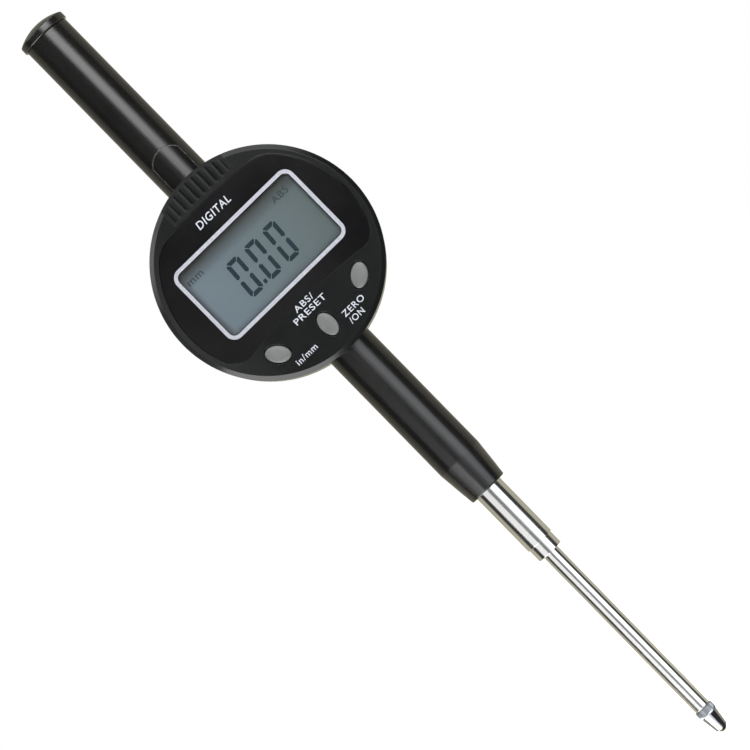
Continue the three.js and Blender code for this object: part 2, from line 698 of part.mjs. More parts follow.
place("lower_tube", lowerTube(), "satinBlack");
place("stem", stem(), "steel");
place("upper_bush", upperBush(), "brass");
place("lower_bush", lowerBush(), "brass");
place("bumper", bumper(), "rubber");
place("spindle", spindle(), "steel");
place("contact_point", contactPoint(), "steel");
place("contact_ball", contactBall(), "carbide");
place("scale_carrier", scaleCarrier(), "aluminium");
place("scale_strip", scaleStrip(), "board");
CARRIER_SCREWS.forEach((z, i) => place(`carrier_screw_${i + 1}`, carrierScrew(z), "steel"));
place("guide_pin", guidePin(), "steel");
place("guide_rail", guideRail(), "brass");
place("return_spring", returnSpring(), "steel");
place("spring_anchor", springAnchor(), "brass");

export default indicator;
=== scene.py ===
"""Blender model of the digital dial indicator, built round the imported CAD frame.

Shapes are worked out in millimetres in the CAD frame (+Z up along the spindle, display facing -Y) and
scaled to metres when a piece is finished.
"""

import json
import math

import bmesh
import bpy
from mathutils import Matrix, Vector


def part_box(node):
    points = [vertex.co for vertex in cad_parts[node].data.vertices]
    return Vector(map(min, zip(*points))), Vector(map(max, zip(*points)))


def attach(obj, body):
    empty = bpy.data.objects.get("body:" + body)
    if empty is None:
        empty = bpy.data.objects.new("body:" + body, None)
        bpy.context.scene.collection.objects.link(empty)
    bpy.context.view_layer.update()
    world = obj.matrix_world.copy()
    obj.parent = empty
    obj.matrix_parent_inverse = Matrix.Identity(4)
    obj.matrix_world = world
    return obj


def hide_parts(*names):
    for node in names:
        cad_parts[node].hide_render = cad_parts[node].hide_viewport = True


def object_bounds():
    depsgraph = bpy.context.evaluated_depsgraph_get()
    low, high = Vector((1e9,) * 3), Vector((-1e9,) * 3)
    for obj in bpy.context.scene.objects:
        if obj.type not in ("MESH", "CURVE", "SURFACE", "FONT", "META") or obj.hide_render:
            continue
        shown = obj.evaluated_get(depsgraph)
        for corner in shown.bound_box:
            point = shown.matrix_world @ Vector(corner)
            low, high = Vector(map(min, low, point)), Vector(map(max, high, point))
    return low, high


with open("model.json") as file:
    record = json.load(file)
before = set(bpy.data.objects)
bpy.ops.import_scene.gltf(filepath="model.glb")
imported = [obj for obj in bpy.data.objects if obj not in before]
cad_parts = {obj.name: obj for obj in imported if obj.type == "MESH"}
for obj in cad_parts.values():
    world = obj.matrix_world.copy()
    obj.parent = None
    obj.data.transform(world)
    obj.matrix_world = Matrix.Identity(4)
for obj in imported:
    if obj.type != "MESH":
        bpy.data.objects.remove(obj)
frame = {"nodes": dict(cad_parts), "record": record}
CAD_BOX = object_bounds()

MM = 0.001
ROUND_SIDES = 128  # facets of the large round shapes
SMALL_SIDES = 64
SHARP_ANGLE = math.radians(38)  # edges sharper than this stay crisp


# ---------------------------------------------------------------- dimensions from the frame


def corners(node):
    """Lowest and highest corner of a CAD node in millimetres."""
    low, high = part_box(node)
    return low / MM, high / MM


COVER_LOW, COVER_HIGH = corners("front_cover")
CASE_LOW, CASE_HIGH = corners("rear_case")
LENS_LOW, LENS_HIGH = corners("display_lens")
LCD_LOW, LCD_HIGH = corners("lcd_panel")
LUG_LOW, LUG_HIGH = corners("lug_back")
UPPER_LOW, UPPER_HIGH = corners("upper_tube")
SLOT_HIGH = corners("tube_slot_cover")[1]
CAP_LOW, CAP_HIGH = corners("tube_cap")
LOWER_LOW, LOWER_HIGH = corners("lower_tube")
STEM_LOW, STEM_HIGH = corners("stem")
SPINDLE_LOW, SPINDLE_HIGH = corners("spindle")
POINT_LOW, POINT_HIGH = corners("contact_point")
BALL_LOW, BALL_HIGH = corners("contact_ball")
BUSH_LOW, BUSH_HIGH = corners("lower_bush")
DOOR_LOW, DOOR_HIGH = corners("battery_cover")
BATTERY_HIGH = corners("battery")[1]

BODY_R = COVER_HIGH.x
BODY_Z = (COVER_LOW.z + COVER_HIGH.z) / 2
FACE_Y = COVER_LOW.y
SPLIT_Y = COVER_HIGH.y
BACK_Y = CASE_HIGH.y
WALL = 1.6
INNER_R = BODY_R - WALL
PLATE = 1.9  # thickness of the front cover's face
TUBE_R = UPPER_HIGH.x
TUBE_BORE = TUBE_R - 0.9
STEM_R = STEM_HIGH.x
SPINDLE_R = SPINDLE_HIGH.x


# ---------------------------------------------------------------- outlines


def arc(cx, cy, radius, start, end, steps):
    """Points along an arc, angles in degrees, both ends included."""
    angles = [math.radians(start + (end - start) * i / steps) for i in range(steps + 1)]
    return [(cx + radius * math.cos(a), cy + radius * math.sin(a)) for a in angles]


def bow(start, middle, end, steps):
    """Points inside a curve from start to end that is pulled towards middle."""
    points = []
    for i in range(1, steps):
        t = i / steps
        weights = ((1 - t) ** 2, 2 * t * (1 - t), t * t)
        points.append(tuple(sum(w * p[k] for w, p in zip(weights, (start, middle, end))) for k in (0, 1)))
    return points


def rounded(points, steps=4):
    """A closed polygon of (u, v) or (u, v, radius) points, with those corners rounded."""
    outline = []
    for i, point in enumerate(points):
        here = Vector(point[:2])
        if len(point) < 3:
            outline.append(tuple(here))
            continue
        back = Vector(points[i - 1][:2]) - here
        on = Vector(points[(i + 1) % len(points)][:2]) - here
        half = back.angle(on) / 2
        reach = min(point[2] / math.tan(half), 0.49 * back.length, 0.49 * on.length)
        radius = reach * math.tan(half)
        centre = here + (back.normalized() + on.normalized()).normalized() * radius / math.sin(half)
        first = here + back.normalized() * reach - centre
        last = here + on.normalized() * reach - centre
        sweep = math.copysign(math.pi - 2 * half, first.x * last.y - first.y * last.x)
        for k in range(steps + 1):
            outline.append(tuple(centre + Matrix.Rotation(sweep * k / steps, 2) @ first))
    return outline


def rectangle(low, high, radius, grow=0.0):
    """A rectangle with round corners, grown by a margin, as (x, z) points."""
    r = radius + grow
    x0, z0, x1, z1 = low[0] - grow, low[1] - grow, high[0] + grow, high[1] + grow
    return (
        arc(x1 - r, z0 + r, r, -90, 0, 8)
        + arc(x1 - r, z1 - r, r, 0, 90, 8)
        + arc(x0 + r, z1 - r, r, 90, 180, 8)
        + arc(x0 + r, z0 + r, r, 180, 270, 8)
    )


LENS_R = LENS_HIGH.x
TOP_CORNER = 9.0
BOTTOM_CORNER = 5.5
TOP_BOW = 1.2
BOTTOM_BOW = 2.6
LENS_TOP = LENS_HIGH.z - BODY_Z - TOP_BOW / 2
LENS_BOTTOM = LENS_LOW.z - BODY_Z


def lens_outline(grow=0.0):
    """Round the display window: side arcs about the body's centre, round corners, bowed top and bottom."""
    r = LENS_R + grow

    def corner(edge, radius):
        z = edge - math.copysign(radius, edge)
        x = math.sqrt((r - radius) ** 2 - z * z)
        return x, z, math.degrees(math.atan2(z, x))

    top_x, top_z, top_angle = corner(LENS_TOP + grow, TOP_CORNER)
    low_x, low_z, low_angle = corner(LENS_BOTTOM - grow, BOTTOM_CORNER)
    top = top_z + TOP_CORNER
    low = low_z - BOTTOM_CORNER
    return (
        arc(0, 0, r, low_angle, top_angle, 24)[:-1]
        + arc(top_x, top_z, TOP_CORNER, top_angle, 90, 12)
        + bow((top_x, top), (0, top + TOP_BOW), (-top_x, top), 16)
        + arc(-top_x, top_z, TOP_CORNER, 90, 180 - top_angle, 12)[:-1]
        + arc(0, 0, r, 180 - top_angle, 180 - low_angle, 24)[:-1]
        + arc(-low_x, low_z, BOTTOM_CORNER, 180 - low_angle, 270, 12)
        + bow((-low_x, low), (0, low + BOTTOM_BOW), (low_x, low), 16)
        + arc(low_x, low_z, BOTTOM_CORNER, -90, low_angle, 12)[:-1]
    )


# The clear opening in the window, from the body's centre, and the width of the pale line round it.
WINDOW_LOW = (-19.25, -7.65)
WINDOW_HIGH = (19.15, 13.3)
WINDOW_CORNER = 1.6
FRAME_LINE = 1.2

# Half axes of the three button ovals, and the degrees that each is turned by.
BUTTON_LONG = 3.3
BUTTON_SHORT = 2.15
BUTTONS = {"unit": 135, "preset": 90, "zero": 45}


def button_place(name):
    low, high = corners(f"{name}_button")
    return (low.x + high.x) / 2, (low.z + high.z) / 2 - BODY_Z


def button_outline(name, grow=0.0, steps=64):
    """The button's oval in (x, z) from the body's centre, grown by a margin."""
    x, z = button_place(name)
    turn = math.radians(BUTTONS[name])
    outline = []
    for i in range(steps):
        a = 2 * math.pi * i / steps
        u = (BUTTON_LONG + grow) * math.cos(a)
        v = (BUTTON_SHORT + grow) * math.sin(a)
        across = u * math.cos(turn) - v * math.sin(turn)
        up = u * math.sin(turn) + v * math.cos(turn)
        outline.append((x + across, z + up))
    return outline


# ---------------------------------------------------------------- solids, in millimetres


def skin(rings, closed=False):
    """A mesh object over rings of points: capped at both ends, or joined end to end."""
    count = len(rings[0])
    vertices = [p for ring in rings for p in ring]
    faces = []
    for i in range(len(rings) if closed else len(rings) - 1):
        here = i * count
        there = (i + 1) % len(rings) * count
        for k in range(count):
            after = (k + 1) % count
            faces.append((here + k, here + after, there + after, there + k))
    if not closed:
        faces.append(tuple(reversed(range(count))))
        faces.append(tuple(range(len(vertices) - count, len(vertices))))
    mesh = bpy.data.meshes.new("shape")
    mesh.from_pydata(vertices, [], faces)
    made = bmesh.new()
    made.from_mesh(mesh)
    bmesh.ops.remove_doubles(made, verts=made.verts, dist=1e-5)
    bmesh.ops.recalc_face_normals(made, faces=made.faces)
    made.to_mesh(mesh)
    made.free()
    shape = bpy.data.objects.new("shape", mesh)
    bpy.context.scene.collection.objects.link(shape)
    return shape


def about_z(profile, sides=ROUND_SIDES, closed=False):
    """A turned solid about the spindle's axis, from (radius, z) points."""
    angles = [2 * math.pi * i / sides for i in range(sides)]
    return skin([[(r * math.cos(a), r * math.sin(a), z) for a in angles] for r, z in profile], closed)


def about_y(profile, x=0.0, z=BODY_Z, sides=ROUND_SIDES, closed=False):
    """A turned solid about an axis along Y through (x, z), from (radius, y) points."""
    angles = [2 * math.pi * i / sides for i in range(sides)]
    return skin([[(x + r * math.cos(a), y, z + r * math.sin(a)) for a in angles] for r, y in profile], closed)


def layered(outline, layers):
    """A flat solid facing -Y, from outline(grow) in (x, z) about the body's centre, at (grow, y) layers."""
    return skin([[(x, y, BODY_Z + z) for x, z in outline(grow)] for grow, y in layers])


def block(low, high):
    """A plain box used as a cutting tool."""
    outline = [(low[0], low[2]), (high[0], low[2]), (high[0], high[2]), (low[0], high[2])]
    return skin([[(x, y, z) for x, z in outline] for y in (low[1], high[1])])


def evaluated(shape):
    """Replaces an object's mesh by the result of its modifiers."""
    graph = bpy.context.evaluated_depsgraph_get()
    mesh = bpy.data.meshes.new_from_object(shape.evaluated_get(graph))
    shape.modifiers.clear()
    shape.data = mesh
    return shape


def combine(shape, tools, operation):
    """Joins tools to a shape or cuts them out of it, and removes the tools."""
    for tool in tools:
        step = shape.modifiers.new("combine", "BOOLEAN")
        step.operation = operation
        step.solver = "EXACT"
        step.object = tool
    evaluated(shape)
    for tool in tools:
        bpy.data.objects.remove(tool)
    return shape


def cut(shape, *tools):
    return combine(shape, tools, "DIFFERENCE")


def join(shape, *tools):
    return combine(shape, tools, "UNION")


def soften(shape, width, angle=50):
    """Rounds every edge sharper than angle by a small width."""
    step = shape.modifiers.new("soften", "BEVEL")
    step.width = width
    step.segments = 2
    step.limit_method = "ANGLE"
    step.angle_limit = math.radians(angle)
    return evaluated(shape)


def piece(shape, name, material, body, slot, *nodes):
    """Finishes a shape: to metres, smooth shading with crisp edges, its material, body and CAD nodes."""
    mesh = shape.data
    mesh.transform(Matrix.Scale(MM, 4))
    shape.name = mesh.name = name
    mesh.materials.clear()
    mesh.materials.append(material)
    mesh.shade_smooth()
    mesh.set_sharp_from_angle(angle=SHARP_ANGLE)
    weights = shape.modifiers.new("normals", "WEIGHTED_NORMAL")
    weights.keep_sharp = True
    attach(shape, body)
    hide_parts(*nodes)
    return shape


def lip(width, wall_y, out):
    """(grow, y) layers of a cutting tool that leaves a rounded lip at the face."""
    layers = [(out + width, FACE_Y - 1)]
    for angle in (15, 35, 55, 75, 90):
        a = math.radians(angle)
        layers.append((out + width * (1 - math.sin(a)), FACE_Y + width * (1 - math.cos(a))))
    return layers + [(out, wall_y)]


def edged(grow, near, far, radius, steps=4):
    """(grow, y) layers of a plate whose front edge is rounded by radius."""
    layers = []
    for i in range(steps + 1):
        a = math.pi / 2 * i / steps
        layers.append((grow - radius * (1 - math.sin(a)), near + radius * (1 - math.cos(a))))
    return layers + [(grow, far)]


# ---------------------------------------------------------------- materials


class Material:
    """A Principled material with small helpers for its pattern nodes, all in object space."""

    def __init__(self, name, roughness=0.5, metallic=0.0, ior=1.5):
        self.made = bpy.data.materials.new(name)
        self.made.use_nodes = True
        self.tree = self.made.node_tree
        self.shader = self.tree.nodes["Principled BSDF"]
        self.shader.inputs["Roughness"].default_value = roughness
        self.shader.inputs["Metallic"].default_value = metallic
        self.shader.inputs["IOR"].default_value = ior
        self.place = self.tree.nodes.new("ShaderNodeTexCoord").outputs["Object"]

    def link(self, source, target):
        self.tree.links.new(source, target)

    def axes(self):
        """The place's three coordinates, by name, in metres."""
        split = self.tree.nodes.new("ShaderNodeSeparateXYZ")
        self.link(self.place, split.inputs["Vector"])
        return split.outputs

    def noise(self, scale, detail=3.0, stretch=(1, 1, 1)):
        """Noise with `scale` features to the metre, closer together along the axes that stretch names."""
        mapping = self.tree.nodes.new("ShaderNodeMapping")
        mapping.inputs["Scale"].default_value = stretch
        self.link(self.place, mapping.inputs["Vector"])
        texture = self.tree.nodes.new("ShaderNodeTexNoise")
        texture.inputs["Scale"].default_value = scale
        texture.inputs["Detail"].default_value = detail
        self.link(mapping.outputs["Vector"], texture.inputs["Vector"])
        return texture.outputs["Fac"]

    def ramp(self, factor, *stops):
        """A colour ramp of (position, colour) stops."""
        node = self.tree.nodes.new("ShaderNodeValToRGB")
        for i, (position, colour) in enumerate(stops):
            stop = node.color_ramp.elements[i] if i < 2 else node.color_ramp.elements.new(position)
            stop.position = position
            stop.color = (*colour, 1)
        self.link(factor, node.inputs["Fac"])
        return node.outputs["Color"]

    def mix(self, factor, first, second):
        """A colour between two, either of which may be a plain colour."""
        node = self.tree.nodes.new("ShaderNodeMix")
        node.data_type = "RGBA"
        self.link(factor, node.inputs["Factor"])
        for value, socket in ((first, node.inputs[6]), (second, node.inputs[7])):
            if isinstance(value, tuple):
                socket.default_value = (*value, 1)
            else:
                self.link(value, socket)
        return node.outputs[2]

    def span(self, factor, low, high, start=0.3, end=0.7):
        """A factor mapped from start..end to low..high."""
        node = self.tree.nodes.new("ShaderNodeMapRange")
        for name, value in (("From Min", start), ("From Max", end), ("To Min", low), ("To Max", high)):
            node.inputs[name].default_value = value
        self.link(factor, node.inputs["Value"])
        return node.outputs["Result"]

    def edges(self, radius):
        """1 on edges that stand out, 0 elsewhere: where a bevelled normal leaves the true one."""
        bevel = self.tree.nodes.new("ShaderNodeBevel")
        bevel.samples = 4
        bevel.inputs["Radius"].default_value = radius * MM
        true = self.tree.nodes.new("ShaderNodeNewGeometry")
        dot = self.tree.nodes.new("ShaderNodeVectorMath")
        dot.operation = "DOT_PRODUCT"
        self.link(bevel.outputs["Normal"], dot.inputs[0])
        self.link(true.outputs["Normal"], dot.inputs[1])
        return self.span(dot.outputs["Value"], 1.0, 0.0, 0.8, 0.97)

    def bump(self, height, distance, strength=1.0):
        """Adds a bump of that depth in millimetres, on top of any earlier one."""
        node = self.tree.nodes.new("ShaderNodeBump")
        node.inputs["Strength"].default_value = strength
        node.inputs["Distance"].default_value = distance * MM
        self.link(height, node.inputs["Height"])
        target = self.shader.inputs["Normal"]
        if target.is_linked:
            self.link(target.links[0].from_socket, node.inputs["Normal"])
        self.link(node.outputs["Normal"], target)

    def colour(self, source):
        self.link(source, self.shader.inputs["Base Color"])

    def rough(self, source):
        self.link(source, self.shader.inputs["Roughness"])


def clouded(name, pattern, tones, roughness, depth=0.0, **shader):
    """A material whose colour, roughness and bump follow one noise, given as its scale and detail."""
    m = Material(name, **shader)
    cloud = m.noise(*pattern)
    m.colour(m.ramp(cloud, *tones))
    m.rough(m.span(cloud, *roughness))
    if depth:
        m.bump(cloud, depth)
    return m


def case_plastic(name="case_plastic", smooth=0.15, dull=0.21, ior=1.36):
    """Moulded black plastic with a fine texture, and edges painted paler as a painted highlight.

    Its left side is a little paler. That stands in for light falling on it, and isn't a mark on the object.
    """
    m = Material(name, ior=ior)
    cloud = m.noise(180, 4)
    speckle = m.noise(5200, 2)
    tone = m.ramp(cloud, (0.3, (0.0044, 0.0048, 0.0050)), (0.7, (0.0062, 0.0066, 0.0068)))
    left = m.span(m.axes()["X"], 1.0, 0.0, -BODY_R * MM, -0.45 * BODY_R * MM)
    tone = m.mix(left, tone, (0.016, 0.0165, 0.017))
    # The paler colour on the edges is a painted highlight.
    m.colour(m.mix(m.edges(0.25), tone, (0.022, 0.023, 0.023)))
    m.rough(m.span(speckle, smooth, dull))
    m.bump(speckle, 0.004)
    m.bump(m.noise(900, 2), 0.004)
    return m.made


def lens_black():
    """Clear acrylic printed black behind: smooth gloss with faint haze and hairlines."""
    m = Material("lens_black", ior=1.49)
    haze = m.noise(60, 5)
    hairline = m.noise(900, 2, (6.0, 1.0, 0.15))
    m.colour(m.ramp(haze, (0.35, (0.004, 0.004, 0.0045)), (0.75, (0.007, 0.007, 0.0075))))
    m.rough(m.span(haze, 0.05, 0.10))
    m.bump(hairline, 0.0006)
    return m.made


def pane_clear():
    """The clear part of the window: seen through, and darker and glossier towards grazing."""
    m = Material("pane_clear", ior=1.49)
    m.shader.inputs["Base Color"].default_value = (0.02, 0.02, 0.02, 1)
    m.rough(m.span(m.noise(80, 4), 0.02, 0.05))
    clear = m.tree.nodes.new("ShaderNodeBsdfTransparent")
    clear.inputs["Color"].default_value = (0.97, 0.98, 0.98, 1)
    weight = m.tree.nodes.new("ShaderNodeLayerWeight")
    steep = m.tree.nodes.new("ShaderNodeMath")
    steep.operation = "POWER"
    steep.inputs[1].default_value = 5
    m.link(weight.outputs["Facing"], steep.inputs[0])
    both = m.tree.nodes.new("ShaderNodeMixShader")
    m.link(m.span(steep.outputs["Value"], 0.04, 1.0, 0.0, 1.0), both.inputs["Fac"])
    m.link(clear.outputs["BSDF"], both.inputs[1])
    m.link(m.shader.outputs["BSDF"], both.inputs[2])
    m.link(both.outputs["Shader"], m.tree.nodes["Material Output"].inputs["Surface"])
    return m.made


def print_white():
    """Screen-printed white ink, slightly uneven."""
    tones = (0.3, (0.36, 0.38, 0.43)), (0.7, (0.43, 0.45, 0.50))
    return clouded("print_white", (2600, 3), tones, (0.38, 0.55), 0.004, ior=1.45).made


def frame_white():
    """The pale line printed round the display."""
    tones = (0.3, (0.29, 0.295, 0.335)), (0.7, (0.34, 0.345, 0.385))
    return clouded("frame_white", (1400, 3), tones, (0.2, 0.32), 0.002, ior=1.49).made


def lcd_grey():
    """The display's grey-blue reflector: satin, with painted shade from its border at the top and the left,
    and painted light that makes it paler on the left than the right.
    """
    m = Material("lcd_grey", ior=1.5)
    place = m.axes()
    left, top = WINDOW_LOW[0], BODY_Z + WINDOW_HIGH[1]
    # Painted light: paler on the left, darker on the right.
    across = m.span(place["X"], 0.0, 1.0, LCD_LOW.x * MM, LCD_HIGH.x * MM)
    tone = m.mix(across, (0.119, 0.153, 0.185), (0.070, 0.092, 0.092))
    grain = m.noise(6000, 2)
    tone = m.mix(m.span(grain, 0.0, 0.06), tone, (0.10, 0.12, 0.13))
    # Painted shade from the window's border, at the top and the left.
    shade = (0.022, 0.022, 0.021)
    tone = m.mix(m.span(place["Z"], 0.0, 0.98, (top - 4.8) * MM, (top - 0.4) * MM), tone, shade)
    tone = m.mix(m.span(place["X"], 0.7, 0.0, (left - 0.1) * MM, (left + 1.5) * MM), tone, shade)
    m.colour(tone)
    m.rough(m.span(m.noise(120, 3), 0.34, 0.42))
    m.bump(grain, 0.0006)
    return m.made


def lcd_ink():
    """Switched-on display segments."""
    tones = (0.3, (0.014, 0.024, 0.032)), (0.7, (0.020, 0.032, 0.042))
    return clouded("lcd_ink", (900, 3), tones, (0.30, 0.40), ior=1.2).made


def lcd_ink_faint():
    """Small display marks, thinner and paler than the digits."""
    tones = (0.3, (0.032, 0.042, 0.048)), (0.7, (0.042, 0.052, 0.058))
    return clouded("lcd_ink_faint", (900, 3), tones, (0.30, 0.40), ior=1.2).made


def button_plastic():
    """Grey moulded keys, satin, with a fine grain."""
    m = Material("button_plastic", ior=1.47)
    grain = m.noise(3800, 3)
    cloud = m.noise(300, 3)
    m.colour(m.ramp(cloud, (0.3, (0.098, 0.103, 0.102)), (0.7, (0.116, 0.121, 0.119))))
    m.rough(m.span(grain, 0.36, 0.5))
    m.bump(grain, 0.008)
    return m.made


def black_metal():
    """Black anodised aluminium: turning lines round the tube, fine grain, and edges painted paler as a
    painted highlight.
    """
    m = Material("black_metal", ior=1.6)
    lines = m.noise(1.0, 3, (60, 60, 9000))
    grain = m.noise(4200, 3)
    cloud = m.noise(90, 4)
    tone = m.ramp(cloud, (0.3, (0.0040, 0.0040, 0.0038)), (0.7, (0.0062, 0.0062, 0.0058)))
    # The paler colour on the edges is a painted highlight.
    m.colour(m.mix(m.edges(0.15), tone, (0.06, 0.06, 0.057)))
    m.rough(m.span(grain, 0.19, 0.25))
    m.bump(lines, 0.0015)
    m.bump(grain, 0.0006)
    return m.made


def slot_edge_highlight():
    """The band round the slot's cover, painted pale and partly metallic: a painted highlight on its edge."""
    tones = (0.35, (0.05, 0.05, 0.048)), (0.65, (0.16, 0.16, 0.155))
    return clouded("slot_edge_highlight", (1500, 3), tones, (0.35, 0.5), 0.004, metallic=0.6).made


def polished_steel():
    """Ground and polished steel: nearly a mirror, with fine rings from grinding."""
    m = Material("polished_steel", metallic=1.0)
    rings = m.noise(1.0, 4, (30, 30, 16000))
    smear = m.noise(70, 4)
    m.colour(m.ramp(smear, (0.3, (0.80, 0.80, 0.79)), (0.7, (0.87, 0.87, 0.86))))
    m.rough(m.span(smear, 0.14, 0.19))
    m.bump(rings, 0.0012)
    return m.made


def plated_steel(name="plated_steel", tone=0.55):
    """Zinc-plated steel, slightly cloudy."""
    tones = (0.3, (tone * 0.85,) * 3), (0.7, (tone, tone, tone * 1.02))
    m = clouded(name, (700, 4), tones, (0.22, 0.42), metallic=1.0)
    m.bump(m.noise(5000, 3), 0.004)
    return m.made


def aluminium():
    """Milled aluminium with fine tool lines."""
    m = Material("aluminium", metallic=1.0)
    lines = m.noise(1.0, 3, (6000, 40, 40))
    m.colour(m.ramp(m.noise(500, 3), (0.3, (0.60, 0.61, 0.62)), (0.7, (0.70, 0.71, 0.72))))
    m.rough(m.span(lines, 0.28, 0.45))
    m.bump(lines, 0.004)
    return m.made


def brass():
    """Turned brass, a little tarnished."""
    tones = (0.3, (0.50, 0.33, 0.12)), (0.7, (0.66, 0.46, 0.18))
    m = clouded("brass", (400, 4), tones, (0.22, 0.38), metallic=1.0)
    m.bump(m.noise(1.0, 3, (40, 40, 7000)), 0.003)
    return m.made


def board():
    """Green solder resist over copper traces."""
    m = Material("board", ior=1.5)
    traces = m.tree.nodes.new("ShaderNodeTexBrick")
    traces.inputs["Scale"].default_value = 420
    m.link(m.place, traces.inputs["Vector"])
    trace = m.span(traces.outputs["Fac"], 0.0, 1.0, 0.2, 0.8)
    m.colour(m.mix(trace, (0.015, 0.085, 0.035), (0.04, 0.16, 0.06)))
    m.rough(m.span(m.noise(900, 3), 0.25, 0.40))
    m.bump(traces.outputs["Fac"], 0.02)
    return m.made


def rubber():
    """Matt black rubber."""
    tones = (0.3, (0.012, 0.012, 0.012)), (0.7, (0.022, 0.022, 0.021))
    return clouded("rubber", (3000, 4), tones, (0.7, 0.9), 0.02, ior=1.45).made


def contact_metal():
    """The contact point's nickel plating: smooth, turned and a little dark."""
    tones = (0.3, (0.36, 0.38, 0.41)), (0.7, (0.43, 0.45, 0.48))
    m = clouded("contact_metal", (500, 3), tones, (0.08, 0.15), metallic=1.0)
    m.bump(m.noise(1.0, 3, (60, 60, 9000)), 0.001)
    return m.made


def carbide():
    """The contact ball: dark polished carbide."""
    tones = (0.3, (0.10, 0.09, 0.075)), (0.7, (0.15, 0.13, 0.11))
    return clouded("carbide", (1500, 3), tones, (0.10, 0.18), metallic=1.0).made


PLASTIC = case_plastic()
GRIP_PLASTIC = case_plastic("grip_plastic", 0.38, 0.46, 1.26)
LENS_BLACK = lens_black()
PANE_CLEAR = pane_clear()
PRINT_WHITE = print_white()
FRAME_WHITE = frame_white()
LCD_GREY = lcd_grey()
LCD_INK = lcd_ink()
LCD_FAINT = lcd_ink_faint()
BUTTON_GREY = button_plastic()
BLACK_METAL = black_metal()
# The pale band round the slot's cover: a painted highlight.
SLOT_EDGE_HIGHLIGHT = slot_edge_highlight()
POLISHED = polished_steel()
PLATED = plated_steel()
DARK_SCREW = plated_steel("dark_screw", 0.12)
ALUMINIUM = aluminium()
BRASS = brass()
BOARD = board()
RUBBER = rubber()
NICKEL = contact_metal()
CARBIDE = carbide()

SLOT_MATERIALS = {
    "case_plastic": PLASTIC,
    "window": LENS_BLACK,
    "display_glass": LCD_GREY,
    "button_plastic": BUTTON_GREY,
    "black_metal": BLACK_METAL,
    "polished_steel": POLISHED,
    "steel": PLATED,
    "aluminium": ALUMINIUM,
    "brass": BRASS,
    "board": BOARD,
    "rubber": RUBBER,
}


def paint_frame():
    """Gives every CAD node the finish of its slot, for the pieces that keep their CAD shape."""
    for part in frame["record"]["subparts"]:
        for slot in frame["nodes"][part["node"]].material_slots:
            slot.material = SLOT_MATERIALS[part["material_slot"]]


# ---------------------------------------------------------------- front cover, window and display

RIM_WIDTH = 1.2  # the front rim's chamfer, across and deep
RIM_DEPTH = 0.8
DOOR_X = DOOR_HIGH.x
DOOR_GAP = 0.06
DOOR_BOTTOM = DOOR_LOW.z - BODY_Z
DOOR_BACK = DOOR_HIGH.y


def window_outline(grow=0.0):
    return rectangle(WINDOW_LOW, WINDOW_HIGH, WINDOW_CORNER, grow)


def hatch_outline(grow=0.0):
    half = BATTERY_HIGH.x + 0.6
    return rectangle((-half, DOOR_BOTTOM + 0.4), (half, INNER_R - 0.3), 0.8, grow)


def front_cover():
    plate_back = FACE_Y + PLATE
    profile = rounded(
        [
            (0.5, FACE_Y),
            (BODY_R - RIM_WIDTH, FACE_Y, 0.2),
            (BODY_R, FACE_Y + RIM_DEPTH, 0.2),
            (BODY_R, SPLIT_Y - 0.15),
            (BODY_R - 0.15, SPLIT_Y),
            (INNER_R, SPLIT_Y),
            (INNER_R, plate_back),
            (0.5, plate_back),
        ]
    )
    pocket = layered(lens_outline, lip(0.1, LENS_HIGH.y + 0.05, 0.1))
    opening = layered(window_outline, [(0.8, LENS_LOW.y), (0.8, SPLIT_Y)])
    holes = [
        layered(lambda grow, name=name: button_outline(name, grow), lip(0.22, SPLIT_Y, 0.25))
        for name in BUTTONS
    ]
    door = block(
        (-DOOR_X - DOOR_GAP, FACE_Y - 1, DOOR_LOW.z - DOOR_GAP),
        (DOOR_X + DOOR_GAP, DOOR_BACK + 0.1, BODY_Z + BODY_R + 1),
    )
    hatch = layered(hatch_outline, [(0, FACE_Y), (0, SPLIT_Y)])
    shape = cut(about_y(profile), pocket, opening, door, hatch, *holes)
    return piece(shape, "front_cover_moulding", PLASTIC, "housing", "case_plastic", "front_cover")


def display_window():
    """The black-printed window with its clear opening, and the pane in it."""
    near, far = LENS_LOW.y, LENS_HIGH.y
    opening = layered(window_outline, [(0.12, near - 1), (0.12, near), (0, near + 0.12), (0, far + 1)])
    shape = cut(layered(lens_outline, edged(0, near, far, 0.12)), opening)
    window = piece(shape, "display_window", LENS_BLACK, "housing", "window", "display_lens")
    pane = layered(window_outline, [(-0.02, near + 0.14), (-0.02, near + 0.5)])
    piece(pane, "window_pane", PANE_CLEAR, "housing", "window")
    return window


def frame_line():
    """A closed band round the window's opening, printed on the window."""
    top = LENS_LOW.y - 0.02
    section = [(0.14, top + 0.05), (0.18, top), (FRAME_LINE - 0.04, top), (FRAME_LINE, top + 0.05)]
    rings = [[(x, y, BODY_Z + z) for x, z in window_outline(grow)] for grow, y in section]
    return piece(skin(rings, closed=True), "display_frame_line", FRAME_WHITE, "housing", "window")


def lcd():
    low, high = (LCD_LOW.x, LCD_LOW.z - BODY_Z), (LCD_HIGH.x, LCD_HIGH.z - BODY_Z)
    layers = edged(0, LCD_LOW.y, LCD_HIGH.y, 0.15, 2)
    shape = layered(lambda grow: rectangle(low, high, 0.4, grow), layers)
    return piece(shape, "lcd_glass", LCD_GREY, "housing", "display_glass", "lcd_panel")


# A seven-segment digit: its outer size, stroke, gap between segments and lean.
DIGIT_WIDTH = 4.2
DIGIT_HEIGHT = 10.9
STROKE = 1.14
SEGMENT_GAP = 0.10
CORNER_CUT = 0.8
LEAN = math.tan(math.radians(3.2))
DIGIT_Z = 1.54
DIGITS_X = (-6.6, -0.25, 6.1)
POINT_HALF = 0.45  # the decimal point: half width, height, and place above the digits' foot
POINT_HEIGHT = 1.1
POINT_RISE = 0.45


